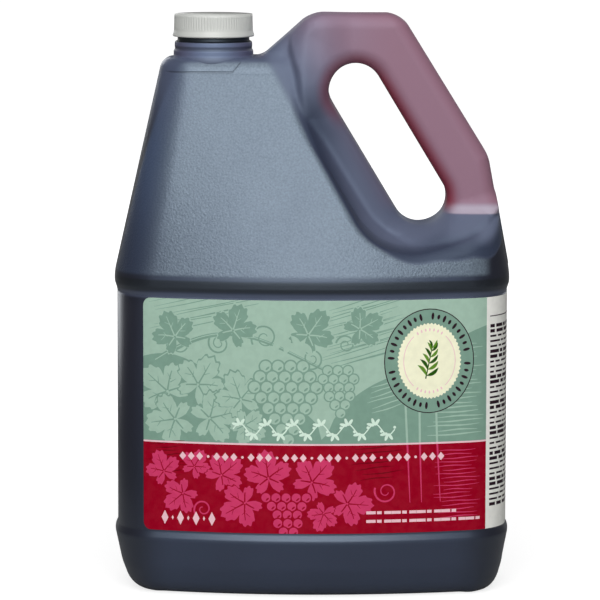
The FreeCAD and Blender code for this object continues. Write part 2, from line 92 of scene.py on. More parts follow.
class Graph:
    """A material's node tree, with short ways to add and join its nodes."""

    def __init__(self, name: str) -> None:
        """Start an empty material.

        Args:
            name: The material's name.
        """
        self.material = bpy.data.materials.new(name)
        self.material.use_nodes = True
        self.tree = self.material.node_tree
        self.shader = self.tree.nodes["Principled BSDF"]

    def add(self, kind: str, **settings: object) -> bpy.types.Node:
        """Add one node.

        Args:
            kind: The node's type name without its ShaderNode prefix.
            settings: Properties of the node.

        Returns:
            The new node.
        """
        node = self.tree.nodes.new("ShaderNode" + kind)
        for name, value in settings.items():
            setattr(node, name, value)
        return node

    def join(self, value: object, socket: bpy.types.NodeSocket) -> None:
        """Feed a socket from another socket or with a plain value.

        Args:
            value: An output socket, a number or a tuple.
            socket: The input socket.
        """
        if isinstance(value, bpy.types.NodeSocket):
            self.tree.links.new(value, socket)
        elif isinstance(value, tuple) and len(value) == 3 and len(socket.default_value) == 4:
            socket.default_value = (*value, 1.0)
        else:
            socket.default_value = value

    def place(self) -> bpy.types.NodeSocket:
        """Return the object coordinates, in metres."""
        return self.add("TexCoord").outputs["Object"]

    def axes(self) -> list[bpy.types.NodeSocket]:
        """Return the X, Y and Z object coordinates as three sockets."""
        node = self.add("SeparateXYZ")
        self.join(self.place(), node.inputs[0])
        return list(node.outputs)

    def math(self, operation: str, *values: object, clamp: bool = False) -> bpy.types.NodeSocket:
        """Add a Math node.

        Args:
            operation: The operation's name.
            values: Its inputs, sockets or numbers.
            clamp: Whether the result is kept between 0 and 1.

        Returns:
            The result's socket.
        """
        node = self.add("Math", operation=operation, use_clamp=clamp)
        for value, socket in zip(values, node.inputs):
            self.join(value, socket)
        return node.outputs[0]

    def product(self, *values: object) -> bpy.types.NodeSocket:
        """Multiply sockets or numbers.

        Args:
            values: What is multiplied, in turn.

        Returns:
            The product's socket, or the first value if it is alone.
        """
        result = values[0]
        for value in values[1:]:
            result = self.math("MULTIPLY", result, value)
        return result

    def rest(self, share: object) -> bpy.types.NodeSocket:
        """Return what a share leaves of 1."""
        return self.math("SUBTRACT", 1.0, share)

    def size(self, value: object) -> bpy.types.NodeSocket:
        """Return a value without its sign."""
        return self.math("ABSOLUTE", value)

    def vector(self, operation: str, *values: object) -> bpy.types.Node:
        """Add a Vector Math node.

        Args:
            operation: The operation's name.
            values: Its vector inputs, sockets or tuples.

        Returns:
            The node, whose Vector or Value output holds the result.
        """
        node = self.add("VectorMath", operation=operation)
        for value, socket in zip(values, node.inputs):
            self.join(value, socket)
        return node

    def step(self, value: object, span: Span) -> bpy.types.NodeSocket:
        """Go smoothly from 0 to 1 as a value goes over a span.

        Args:
            value: The value's socket.
            span: Where the answer is 0 and where it is 1, the greater first for a fall.

        Returns:
            The answer's socket.
        """
        node = self.add("MapRange", interpolation_type="SMOOTHSTEP")
        rising = span[0] < span[1]
        ends = (*sorted(span), 0.0 if rising else 1.0, 1.0 if rising else 0.0)
        for name, end in zip(("From Min", "From Max", "To Min", "To Max"), ends):
            node.inputs[name].default_value = end
        self.join(value, node.inputs["Value"])
        return node.outputs["Result"]

    def band(self, value: object, spans: tuple[Span, Span]) -> bpy.types.NodeSocket:
        """Return a mask that rises over one span of a value and falls over another."""
        return self.product(*(self.step(value, span) for span in spans))

    def blend(self, share: object, first: object, second: object) -> bpy.types.NodeSocket:
        """Mix two colours.

        Args:
            share: How much of the second colour shows, 0 to 1.
            first: The first colour.
            second: The second colour.

        Returns:
            The mixed colour's socket.
        """
        node = self.add("Mix", data_type="RGBA")
        self.join(share, node.inputs["Factor"])
        self.join(first, node.inputs[6])
        self.join(second, node.inputs[7])
        return node.outputs[2]

    def noise(self, scale: float, detail: float = 2.0) -> bpy.types.NodeSocket:
        """Add a noise that fills the object's space.

        Args:
            scale: Blotches to the metre.
            detail: The noise's octaves.

        Returns:
            The noise's value, about 0.3 to 0.7.
        """
        node = self.add("TexNoise")
        self.join(self.place(), node.inputs["Vector"])
        node.inputs["Scale"].default_value = scale
        node.inputs["Detail"].default_value = detail
        return node.outputs["Fac"]

    def length(self, name: str) -> bpy.types.NodeSocket:
        """Return a length, in metres, that the mesh keeps at each point, or 0 where it has none."""
        return self.add("Attribute", attribute_name=name).outputs["Fac"]

    def bump(self, height: object, distance: float, strength: object = 1.0) -> None:
        """Raise the surface by a height map.

        Args:
            height: The map's socket.
            distance: The height in metres that a value of 1 stands for.
            strength: How much of it shows, a number or a socket.
        """
        node = self.add("Bump")
        node.inputs["Distance"].default_value = distance
        self.join(strength, node.inputs["Strength"])
        self.join(height, node.inputs["Height"])
        self.join(node.outputs["Normal"], self.shader.inputs["Normal"])


class Coats(Graph):
    """A material whose colour is laid coat over coat, with X and Z at hand."""

    def __init__(self, name: str, first: Colour, second: Colour) -> None:
        """Start with a blotchy first coat.

        Args:
            name: The material's name.
            first: One colour of the first coat.
            second: The other.
        """
        super().__init__(name)
        self.across, self.deep, self.up = self.axes()
        flat = self.add("CombineXYZ")
        self.join(self.across, flat.inputs[0])
        self.join(self.up, flat.inputs[2])
        self.flat = flat.outputs[0]
        self.colour = self.blend(self.noise(18.0), first, second)

    def slant(self, across: float, up: float) -> bpy.types.NodeSocket:
        """Return a share of X plus a share of Z."""
        return self.vector("DOT_PRODUCT", self.flat, (across, 0.0, up)).outputs["Value"]

    def width(self, span: Span) -> bpy.types.NodeSocket:
        """Return a mask that goes from 0 to 1 over a span of X."""
        return self.step(self.across, span)

    def height(self, span: Span) -> bpy.types.NodeSocket:
        """Return a mask that goes from 0 to 1 over a span of Z."""
        return self.step(self.up, span)

    def coat(self, ink: object, *masks: object) -> None:
        """Lay a colour over the coats so far, as strongly as its masks' product."""
        self.colour = self.blend(self.product(*masks), self.colour, ink)


@dataclass(frozen=True)
class JugZones:
    """Where the plastic's colours change, in metres.

    In each span a colour is missing at the first length and full at the second. The lengths are
    X, Z, the distance from the middle plane or the slot, the dip under the whole shoulder, the way
    past the recess's crease, or, with a slant, a share of X plus a share of Z.
    """

    # Where painted shade darkens the body's left and right edges.
    corners: Span = (0.07, 0.093)
    shoulder: tuple[Span, Span] = ((0.1638, 0.1662), (0.2775, 0.2745))
    off_middle: Span = (0.0185, 0.0215)
    right_end: Span = (0.0915, 0.086)
    # Where a dimmer painted sheen lies on the shoulder's left edge.
    left_slant: Pair = (1.0, -0.1255)
    left_turn: Span = (-0.1121, -0.0901)
    left_climb: Span = (0.166, 0.235)
    sunk: Span = (0.0004, 0.0016)
    raised: Span = (-0.001, -0.007)
    crease: Span = (-0.0012, 0.0012)
    flank_slant: Pair = (0.87, 0.494)
    flank: Span = (0.1119, 0.1179)
    flank_foot: Span = (0.228, 0.246)
    frost_grain: Span = (0.2655, 0.2645)
    # Where painted light lightens the top of the shoulder.
    crown_left: Span = (0.225, 0.268)
    crown_rim: Span = (0.2695, 0.2725)
    recess_foot: Span = (0.166, 0.17)
    # Where painted shade lies in the recess by its crease.
    shallow: Span = (0.019, 0.003)
    low_wall: Span = (0.262, 0.235)
    by_crease: Span = (0.0095, 0.0035)
    # Where painted light lies on the panel's step under the ridge.
    strip: tuple[Span, Span] = ((0.1525, 0.154), (0.1572, 0.1555))
    # Where painted shadow lies under the ridge.
    under_ridge: tuple[Span, Span] = ((0.1555, 0.158), (0.1632, 0.162))
    rim_low: Place = (0.05497, 0.0, 0.202)
    rim_high: Place = (0.0213, 0.0, 0.2563)
    rim_radius: float = 0.014
    beyond_slot: Place = (0.85, 0.0, 0.53)
    # Where the handle is painted mauve, partly with light shining through it.
    handle: Span = (-0.024, 0.014)
    handle_foot: Span = (0.1925, 0.2005)
    handle_left: Span = (0.045, -0.005)
    # Where a painted highlight lies along the handle's ledge.
    ledge: tuple[Span, Span] = ((0.1935, 0.1945), (0.2, 0.1965))
    ledge_left: Span = (0.067, 0.073)
    # Where the painted red glow of light round the slot's rim shows.
    lit_side: Span = (-0.008, 0.012)
    slot_top: Span = (0.26, 0.269)
    slot_upper: Span = (0.234, 0.25)
    rim: Span = (0.0068, 0.0)
    neck_x: float = NECK_X * MM
    by_neck: Span = (-0.022, -0.026)
    bead: Span = (0.2725, 0.274)
    # Where painted shade darkens the bead's sides.
    off_neck: Span = (0.004, 0.019)
    # Where painted shade lies in the neck's groove.
    groove: tuple[Span, Span] = ((0.2758, 0.2768), (0.279, 0.278))
    # Where painted shadow lies in the gap under the cap.
    cap_shadow: Span = (0.2802, 0.2808)
    seam_level: float = 0.266
    seam_turn: float = 0.0406
    seam_climb: float = 1.2
    seam_line: Span = (0.0006, 0.0002)
    seam_ends: tuple[Span, Span] = ((-0.076, -0.072), (-0.0362, -0.0368))


@dataclass(frozen=True)
class JugPlastic:
    """Translucent natural plastic, dark with the vinegar behind it.

    The thin handle is painted mauve, partly the thinner drink's own colour and partly light
    shining through it, and the rim of its slot is painted with a red glow of light.
    """

    deep: Colour = srgb(46, 54, 75)
    murk: Colour = srgb(38, 42, 60)
    # Painted shade for the body's edges and the neck's groove; also the mould seam's own dark line.
    shade: Colour = srgb(18, 12, 22)
    # The frosted shoulder's own tone, lightened by a painted sheen.
    frost_and_sheen: Colour = srgb(100, 112, 124)
    # Painted shade by the recess's crease.
    crease_shade: Colour = srgb(30, 38, 62)
    neck: Colour = srgb(96, 108, 138)
    # Painted shade for the neck bead's sides, which turn away from the light.
    bead_side_shade: Colour = srgb(74, 60, 82)
    # Painted dimmer sheen for the shoulder's left edge, which turns away from the light.
    left_edge_sheen: Colour = srgb(66, 80, 108)
    # Painted light on the top of the shoulder, as if from overhead.
    lit_crown: Colour = srgb(82, 90, 114)
    lilac: Colour = srgb(138, 118, 138)
    # Partly the thinner drink's own colour, partly painted light shining through the handle.
    mauve: Colour = srgb(142, 100, 117)
    # The thin web's lighter tone with a painted sheen; also painted light on the panel's step.
    slate_and_sheen: Colour = srgb(88, 95, 118)
    # Painted highlight on the handle's ledge.
    ledge: Colour = srgb(172, 158, 172)
    # Painted red glow of light through the slot's rim.
    rim_backlight_glow: Colour = srgb(140, 20, 40)
    # Painted shadow under the ridge's overhang.
    ridge_shadow: Colour = (0.002, 0.0015, 0.003)
    # Painted shadow in the gap under the cap.
    gap: Colour = (0.0012, 0.001, 0.0016)
    gloss: Colour = (0.68, 0.83, 1.0)
    index: float = 1.8
    zones: JugZones = JugZones()

    def material(self) -> bpy.types.Material:
        """Build the plastic's material.

        Returns:
            The material.
        """
        coats = Coats("jug_plastic", self.deep, self.murk)
        # Painted shade at the left and right edges, where the body turns away from the light.
        coats.coat(self.shade, coats.step(coats.size(coats.across), self.zones.corners), 0.85)
        inside = self.inside(coats)
        face = self.shoulder(coats, inside)
        inside = self.recess(coats, inside)
        # Painted light on the panel's step, just above the label.
        coats.coat(self.slate_and_sheen, coats.band(coats.up, self.zones.strip), 0.4)
        # Painted shadow under the ridge.
        coats.coat(self.ridge_shadow, coats.band(coats.up, self.zones.under_ridge), 0.95)
        self.handle(coats)
        self.neck_rings(coats)
        seam = self.seam(coats)
        coats.coat(self.shade, seam, 0.5)
        shader = coats.shader
        coats.join(coats.colour, shader.inputs["Base Color"])
        coats.join(coats.math("MULTIPLY_ADD", inside, 0.25, 0.4), shader.inputs["Roughness"])
        shader.inputs["IOR"].default_value = self.index
        coats.join(self.gloss, shader.inputs["Specular Tint"])
        rough = coats.product(face, coats.height(self.zones.frost_grain))
        grain = coats.product(coats.noise(900.0, 3.0), coats.math("ADD", rough, 0.1))
        coats.bump(coats.math("SUBTRACT", grain, coats.product(seam, 0.8)), 0.0003, 0.7)
        return coats.material

    def inside(self, coats: Coats) -> bpy.types.NodeSocket:
        """Mark the recess, the handle and the flank that leads up to it.

        Args:
            coats: The material.

        Returns:
            A mask, 1 where the skin leaves the whole shoulder, past the crease and on the flank.
        """
        zones, dip = self.zones, coats.length("dip")
        off_skin = coats.math("MAXIMUM", coats.step(dip, zones.sunk), coats.step(dip, zones.raised))
        inside = coats.math("MAXIMUM", off_skin, coats.step(coats.length("crease"), zones.crease))
        flank = coats.product(coats.step(coats.slant(*zones.flank_slant), zones.flank),
                              coats.height(zones.flank_foot))
        return coats.math("MAXIMUM", inside, flank)

    def shoulder(self, coats: Coats, inside: bpy.types.NodeSocket) -> bpy.types.NodeSocket:
        """Colour the shoulder: a frosted front with a painted sheen, a left edge with a dimmer
        painted sheen and a top lightened with painted light.

        Args:
            coats: The material.
            inside: The mask of what isn't shoulder.

        Returns:
            A mask, 1 on the shoulder's faces.
        """
        zones = self.zones
        off_middle = coats.step(coats.size(coats.deep), zones.off_middle)
        face = coats.product(coats.band(coats.up, zones.shoulder), off_middle, coats.width(zones.right_end))
        front = coats.step(coats.slant(*zones.left_slant), zones.left_turn)
        climb = coats.math("MULTIPLY_ADD", coats.height(zones.left_climb), 0.6, 0.35)
        # Painted dimmer sheen on the shoulder's left edge, stronger towards the top.
        coats.coat(self.left_edge_sheen, face, coats.rest(front), climb)
        face = coats.product(face, coats.rest(inside))
        speck = coats.math("MULTIPLY_ADD", coats.noise(1000.0, 1.0), 0.9, -0.45)
        mottle = coats.math("MULTIPLY_ADD", coats.noise(26.0, 4.0), 0.6, 0.45)
        # Painted sheen on the frosted face, which leans back towards the light.
        coats.coat(self.frost_and_sheen, face, front, coats.math("ADD", mottle, speck))
        # Painted light on the shoulder's top, at its left and round its rim.
        left = coats.product(coats.rest(front), coats.height(zones.crown_left))
        lit_crown = coats.math("MAXIMUM", left, coats.height(zones.crown_rim))
        coats.coat(self.lit_crown, lit_crown, 0.85)
        return face

    def recess(self, coats: Coats, inside: bpy.types.NodeSocket) -> bpy.types.NodeSocket:
        """Colour the recess a lighter blue-grey with a painted sheen, and lay painted shade in its
        shallow low parts by the crease.

        Args:
            coats: The material.
            inside: The mask of what isn't shoulder.

        Returns:
            The mask, cut off at the ridge.
        """
        zones = self.zones
        inside = coats.product(inside, coats.height(zones.recess_foot))
        # The recess's thinner plastic, lighter, with a painted sheen.
        coats.coat(self.slate_and_sheen, inside, 0.92)
        shallow = coats.step(coats.length("dip"), zones.shallow)
        by_crease = coats.step(coats.length("crease"), zones.by_crease)
        # Painted shade in the recess's shallow low parts by the crease.
        coats.coat(self.crease_shade, inside, shallow, coats.height(zones.low_wall), by_crease, 0.92)
        return inside

    def handle(self, coats: Coats) -> None:
        """Colour the handle mauve, partly painted light shining through it, with lilac at its left,
        a painted highlight along the ledge and a painted red glow of light round the slot's rim.

        Args:
            coats: The material.
        """
        zones = self.zones
        low, high = Vector(zones.rim_low), Vector(zones.rim_high)
        run = high - low
        offset = coats.vector("SUBTRACT", coats.flat, zones.rim_low).outputs[0]
        along = coats.vector("DOT_PRODUCT", offset, tuple(run / run.length_squared)).outputs["Value"]
        share = coats.math("ADD", along, 0.0, clamp=True)
        foot = coats.add("VectorMath", operation="SCALE")
        foot.inputs[0].default_value = tuple(run)
        coats.join(share, foot.inputs["Scale"])
        reach = coats.vector("LENGTH", coats.vector("SUBTRACT", offset, foot.outputs[0]).outputs[0])
        rim = coats.math("SUBTRACT", reach.outputs["Value"], zones.rim_radius)
        side = coats.vector("DOT_PRODUCT", offset, zones.beyond_slot).outputs["Value"]
        height = coats.height(zones.handle_foot)
        left = coats.product(coats.width(zones.handle_left), 0.8)
        # Mauve: the thinner drink's own colour with painted light shining through.
        coats.coat(coats.blend(left, self.mauve, self.lilac), coats.step(side, zones.handle), height)
        # Painted highlight along the handle's ledge.
        coats.coat(self.ledge, coats.band(coats.up, zones.ledge), coats.width(zones.ledge_left), 0.9)
        dim = coats.math("MULTIPLY_ADD", coats.height(zones.slot_top), -0.4, 1.0)
        beyond = coats.product(coats.step(side, zones.lit_side), height, dim)
        upper = coats.product(coats.height(zones.slot_upper), 0.45)
        # Painted red glow of light round the slot's rim.
        coats.coat(self.rim_backlight_glow, coats.step(rim, zones.rim), coats.math("MAXIMUM", beyond, upper), 0.9)

    def neck_rings(self, coats: Coats) -> None:
        """Colour the neck's bead, with painted shade at its sides and in the groove, and a painted
        shadow in the gap under the cap.

        Args:
            coats: The material.
        """
        zones = self.zones
        by_neck = coats.width(zones.by_neck)
        bead = coats.product(coats.height(zones.bead), by_neck)
        coats.coat(self.neck, bead, 0.9)
        away = coats.size(coats.math("SUBTRACT", coats.across, zones.neck_x))
        # Painted shade on the bead's sides.
        coats.coat(self.bead_side_shade, coats.step(away, zones.off_neck), bead, 0.6)
        # Painted shade in the neck's groove.
        coats.coat(self.shade, coats.band(coats.up, zones.groove), by_neck, 0.55)
        # Painted shadow in the gap under the cap.
        coats.coat(self.gap, coats.height(zones.cap_shadow), by_neck)

    def seam(self, coats: Coats) -> bpy.types.NodeSocket:
        """Mark the mould's fine seam under the neck, level and then rising to the right.

        Args:
            coats: The material.

        Returns:
            A mask, 1 on the seam.
        """
        zones = self.zones
        past = coats.math("MAXIMUM", coats.math("ADD", coats.across, zones.seam_turn), 0.0)
        above = coats.math("SUBTRACT", coats.up, zones.seam_level)
        line = coats.size(coats.math("SUBTRACT", above, coats.product(past, zones.seam_climb)))
        return coats.product(coats.step(line, zones.seam_line), coats.band(coats.across, zones.seam_ends))


@dataclass(frozen=True)
class CapPlastic:
    """White moulded closure plastic, faintly mottled."""

    white: Colour = srgb(206, 208, 204)
    worn: Colour = srgb(198, 200, 196)

    def material(self) -> bpy.types.Material:
        """Build the closure's material.

        Returns:
            The material.
        """
        graph = Graph("cap_plastic")
        graph.join(graph.blend(graph.noise(60.0), self.white, self.worn), graph.shader.inputs["Base Color"])
        graph.shader.inputs["Roughness"].default_value = 0.38
        graph.bump(graph.noise(700.0), 0.00008, 0.2)
        return graph.material


@dataclass(frozen=True)
class Vinegar:
    """The drink behind the wall."""

    ruby: Colour = srgb(70, 10, 24)
    dark: Colour = srgb(44, 6, 16)

    def material(self) -> bpy.types.Material:
        """Build the drink's material.

        Returns:
            The material.
        """
        graph = Graph("vinegar")
        graph.join(graph.blend(graph.noise(12.0), self.ruby, self.dark), graph.shader.inputs["Base Color"])
        graph.shader.inputs["Roughness"].default_value = 0.12
        return graph.material


def dress(node: str, material: bpy.types.Material) -> None:
    """Give a measured node's object a material in each of its slots.

    Args:
        node: The node's name.
        material: The material.
    """
    piece = bpy.data.objects[node]
    if not piece.material_slots:
        piece.data.materials.append(material)
    for slot in piece.material_slots:
        slot.material = material
    LOG.info("%s keeps its measured shape, %d faces", node, len(piece.data.polygons))


# ---------------------------------------------------------------------------------------
# Forms
# ---------------------------------------------------------------------------------------


def smoothstep(value: np.ndarray, low: float, high: float) -> np.ndarray:
    """Rise smoothly from 0 at low to 1 at high, or fall if low is the greater.

    Args:
        value: Where to look.
        low: Where the answer is 0.
        high: Where it is 1.

    Returns:
        Three times the square less twice the cube of the share of the way.
    """
    share = np.clip((value - low) / (high - low), 0.0, 1.0)
    return share * share * (3.0 - 2.0 * share)


def round_and(first: np.ndarray, second: np.ndarray, radius: object) -> np.ndarray:
    """Keep what lies in both solids, with the edge between them rounded.

    Args:
        first: Distance to the first solid, negative inside.
        second: Distance to the second.
        radius: Radius of the edge where the two meet squarely.

    Returns:
        The greater distance, and near the edge the length of both less the radius.
    """
    over_first = np.maximum(first + radius, 0.0)
    over_second = np.maximum(second + radius, 0.0)
    return np.minimum(-radius, np.maximum(first, second)) + np.hypot(over_first, over_second)


def round_or(first: np.ndarray, second: np.ndarray, radius: object) -> np.ndarray:
    """Join two solids, with a cove of a given radius between them.

    Args:
        first: Distance to the first solid, negative inside.
        second: Distance to the second.
        radius: Radius of the cove where the two meet squarely.

    Returns:
        The lesser distance, and near the meeting line the radius less the length of both.
    """
    return -round_and(-first, -second, radius)


def corner_reach(radius: float, degrees: float) -> float:
    """Radius that makes round_and turn like a true arc where two planes meet at a slant.

    Args:
        radius: The true arc's radius.
        degrees: How far the outline turns at the corner.

    Returns:
        The radius times the half turn's tangent and the whole turn's sine.
    """
    turn = math.radians(degrees)
    return radius * math.tan(turn / 2) * math.sin(turn)


def corner_centre(wide: object, deep: object, corner: object, front: object,
                  side: object) -> tuple[np.ndarray, np.ndarray]:
    """Find the centre of a plan outline's corner arc.

    Args:
        wide: The outline's half width, as a number or an array, as are the others.
        deep: Its half depth.
        corner: The corner arc's radius.
        front: The front arc's radius.
        side: The side arc's radius.

    Returns:
        X and Y of the point as far from the front arc's centre as their radii differ, and from the
        side arc's centre likewise.
    """
    front_y, side_x = deep - front, wide - side
    reach_front, reach_side = front - corner, side - corner
    apart = np.hypot(side_x, front_y)
    along = (reach_front**2 - reach_side**2 + apart**2) / (2 * apart)
    beside = np.sqrt(reach_front**2 - along**2)
    return ((along * side_x - beside * front_y) / apart,
            front_y - (along * front_y + beside * side_x) / apart)


@dataclass(frozen=True)
class Plan:
    """A plan outline of eight arcs, each running smoothly into the next.

    The faces and sides are bowed, and the sizes are in millimetres.
    """

    half_width: float
    half_depth: float
    corner: float
    front: float
    side: float

    def inset(self, depth: float) -> "Plan":
        """Return the plan drawn in by a depth on every side."""
        return Plan(*(size - depth for size in astuple(self)))

    def turns(self) -> tuple[float, float, float, float]:
        """Find where the arcs meet.

        Returns:
            The corner arc's centre and the two directions, from the front's middle, at which the
            front runs into the corner and the corner into the side.
        """
        x, y = (float(centre) for centre in corner_centre(*astuple(self)))
        return (x, y, math.atan2(x, y - self.half_depth + self.front),
                math.atan2(x - self.half_width + self.side, y))

    def quarter(self) -> float:
        """Return the length of the outline from the front's middle to the side's."""
        _, _, first, second = self.turns()
        return self.front * first + self.corner * (second - first) + self.side * (math.pi / 2 - second)

    def walk(self, run: np.ndarray) -> tuple[np.ndarray, np.ndarray]:
        """Walk along the outline from the front's middle, to the right or, if negative, the left.

        Args:
            run: Lengths of the walk, no further than a little past the side's middle.

        Returns:
            The points reached and the outward normals there, each centre plus radius times the
            direction that the arc has turned to.
        """
        x, y, first, second = self.turns()
        length = np.abs(run)
        on_corner = length - self.front * first
        on_side = on_corner - self.corner * (second - first)
        turn = np.where(on_corner < 0, length / self.front,
                        np.where(on_side < 0, first + on_corner / self.corner, second + on_side / self.side))
        radius = np.where(on_corner < 0, self.front, np.where(on_side < 0, self.corner, self.side))
        centre_x = np.where(on_corner < 0, 0.0, np.where(on_side < 0, x, self.half_width - self.side))
        centre_y = np.where(on_corner < 0, self.front - self.half_depth, np.where(on_side < 0, -y, 0.0))
        mirror = np.where(run < 0, -1.0, 1.0)
        normal = np.stack([np.sin(turn) * mirror, -np.cos(turn)], axis=-1)
        centre = np.stack([centre_x * mirror, centre_y], axis=-1)
        return centre + radius[..., None] * normal, normal

    def closed(self, steps: int) -> tuple[np.ndarray, np.ndarray]:
        """Walk once round, leftwards seen from above.

        Args:
            steps: Steps in each quarter.

        Returns:
            The points and their outward normals.
        """
        run = np.linspace(0.0, self.quarter(), steps + 1)
        point, normal = self.walk(run)
        flips = [(1, 1), (1, -1), (-1, -1), (-1, 1)]
        points, normals = [], []
        for number, (across, along) in enumerate(flips):
            order = slice(0, -1) if number % 2 == 0 else slice(-1, 0, -1)
            points.append(point[order] * (across, along))
            normals.append(normal[order] * (across, along))
        return np.concatenate(points), np.concatenate(normals)


def plan_distance(x: np.ndarray, y: np.ndarray, sizes: Sequence[np.ndarray]) -> np.ndarray:
    """Distance from points to a plan outline whose sizes may change from point to point.

    Args:
        x: Points' X from the outline's middle.
        y: Points' Y.
        sizes: Half width, half depth, corner, front and side radii.

    Returns:
        The distance to the arc whose sector the point lies in, negative inside.
    """
    wide, deep, corner, front, side = sizes
    x, y = np.abs(x), np.abs(y)
    front_y, side_x = deep - front, wide - side
    centre_x, centre_y = corner_centre(*sizes)
    in_front = x * (centre_y - front_y) < centre_x * (y - front_y)
    in_side = y * (centre_x - side_x) < (x - side_x) * centre_y
    rounded = np.hypot(x - centre_x, y - centre_y) - corner
    return np.where(in_front, np.hypot(x, y - front_y) - front,
                    np.where(in_side, np.hypot(x - side_x, y) - side, rounded))


def rounded_path(corners: Sequence[Place], steps: int = 7) -> np.ndarray:
    """Round the corners of an open chain of straight lines.

    Args:
        corners: Two coordinates and a radius for each corner.
        steps: Points on each arc, less one.

    Returns:
        The chain's points, each arc swept evenly from one tangent point to the other.
    """
    points = [np.array(corners[0][:2], dtype=float)]
    for before, here, after in zip(corners, corners[1:], corners[2:]):
        place = np.array(here[:2])
        back = np.array(before[:2]) - place
        ahead = np.array(after[:2]) - place
        back, ahead = back / np.hypot(*back), ahead / np.hypot(*ahead)
        half = math.acos(float(np.clip(back @ ahead, -1.0, 1.0))) / 2
        reach = here[2] / math.tan(half)
        middle = (back + ahead) / np.hypot(*(back + ahead))
        centre = place + middle * here[2] / math.sin(half)
        start, end = place + back * reach - centre, place + ahead * reach - centre
        sweep = math.atan2(start[0] * end[1] - start[1] * end[0], start @ end)
        turn = np.linspace(0.0, sweep, steps + 1)
        across = np.array([-start[1], start[0]])
        points.extend(centre + np.outer(np.cos(turn), start) + np.outer(np.sin(turn), across))
    points.append(np.array(corners[-1][:2], dtype=float))
    return np.array(points)


def make_piece(name: str, mesh_of: tuple[np.ndarray, Iterable[Sequence[int]]],
               replaced: str, finishes: Sequence[bpy.types.Material],
               normals: Optional[np.ndarray] = None) -> bpy.types.Object:
    """Put a mesh on the jug in place of a measured node.

    Args:
        name: The piece's name.
        mesh_of: Its vertices, in millimetres, and its faces.
        replaced: The node that it stands for.
        finishes: Its materials.
        normals: Shading normals of its vertices, or None to work them out from the faces.

    Returns:
        The new piece.
    """
    points, faces = mesh_of
    mesh = bpy.data.meshes.new(name)
    mesh.from_pydata((points * MM).tolist(), [], [list(face) for face in faces])
    mesh.shade_smooth()
    if normals is not None:
        mesh.normals_split_custom_set_from_vertices(normals.tolist())
    piece = bpy.data.objects.new(name, mesh)
    bpy.context.scene.collection.objects.link(piece)
    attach(piece, BODY)
    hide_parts(replaced)
    for finish in finishes:
        mesh.materials.append(finish)
    LOG.info("%s: %d points, %d faces", name, len(points), len(mesh.polygons))
    return piece


def round_turn(steps: int) -> np.ndarray:
    """Return evenly spaced directions, each the cosine and sine of its angle."""
    turn = np.arange(steps) * 2 * math.pi / steps
    return np.stack([np.cos(turn), np.sin(turn)], axis=-1)


def lift(flat: np.ndarray, heights: np.ndarray) -> np.ndarray:
    """Give rows of flat points their heights.

    Args:
        flat: Rows of points, X and Y in the last axis.
        heights: Each row's height.

    Returns:
        The rows of points, each with its row's height as Z.
    """
    rise = np.broadcast_to(heights[:, None, None], flat.shape[:2] + (1,))
    return np.concatenate([flat, rise], axis=2)


def closed_tube(rings: np.ndarray) -> tuple[np.ndarray, list[list[int]]]:
    """Close a stack of rings of points into a solid.

    Args:
        rings: Rows of points, each a closed ring.

    Returns:
        The points in one list, and the faces: one quad between each two neighbours of each two
        rings, then one face on the first ring and one on the last.
    """
    rows, columns = rings.shape[:2]
    row, column = np.meshgrid(np.arange(rows - 1), np.arange(columns), indexing="ij")
    here, ahead = row * columns + column, row * columns + (column + 1) % columns
    quads = np.stack([here, ahead, ahead + columns, here + columns], axis=-1).reshape(-1, 4)
    ends = [list(range(columns))[::-1], list(range((rows - 1) * columns, rows * columns))]
    return rings.reshape(-1, 3), quads.tolist() + ends


def skin_net(value: np.ndarray, low: np.ndarray, gap: float) -> tuple[np.ndarray, np.ndarray]:
    """Wrap a net of quads round the place where a gridded distance is nothing.

    Each cell that the skin passes through gets one point, the mean of where the skin cuts the
    cell's edges, and each grid edge that the skin cuts gives a face between its four cells.

    Args:
        value: Distances at the grid's points.
        low: The grid's first point.
        gap: The grid's spacing.

    Returns:
        The points and the faces.
    """
    inside = value < 0
    corners = [inside[a:a - 1 or None, b:b - 1 or None, c:c - 1 or None]
               for a in (0, 1) for b in (0, 1) for c in (0, 1)]
    count = np.sum(corners, axis=0)
    crossed = (count > 0) & (count < 8)
    number = np.full(crossed.shape, -1)
    number[crossed] = np.arange(crossed.sum())
    total = np.zeros((int(crossed.sum()), 3))
    weight = np.zeros(len(total))
    faces = []
    for axis in range(3):
        before = np.take(value, range(value.shape[axis] - 1), axis=axis)
        after = np.take(value, range(1, value.shape[axis]), axis=axis)
        cut = (before < 0) != (after < 0)
        index = np.argwhere(cut)
        start = before[cut]
        point = low + index * gap
        point[:, axis] += start / (start - after[cut]) * gap
        first, second = [other for other in range(3) if other != axis]
        cells = []
        for back_first, back_second in ((0, 0), (1, 0), (1, 1), (0, 1)):
            cell = index.copy()
            cell[:, first] -= back_first
            cell[:, second] -= back_second
            cells.append(number[tuple(cell.T)])
            np.add.at(total, cells[-1], point)
            np.add.at(weight, cells[-1], 1.0)
        quad = np.stack(cells, axis=1)
        outward = (start < 0) == (axis != 1)
        faces.append(np.where(outward[:, None], quad, quad[:, ::-1]))
    return total / weight[:, None], np.concatenate(faces)


# ---------------------------------------------------------------------------------------
# The jug
# ---------------------------------------------------------------------------------------


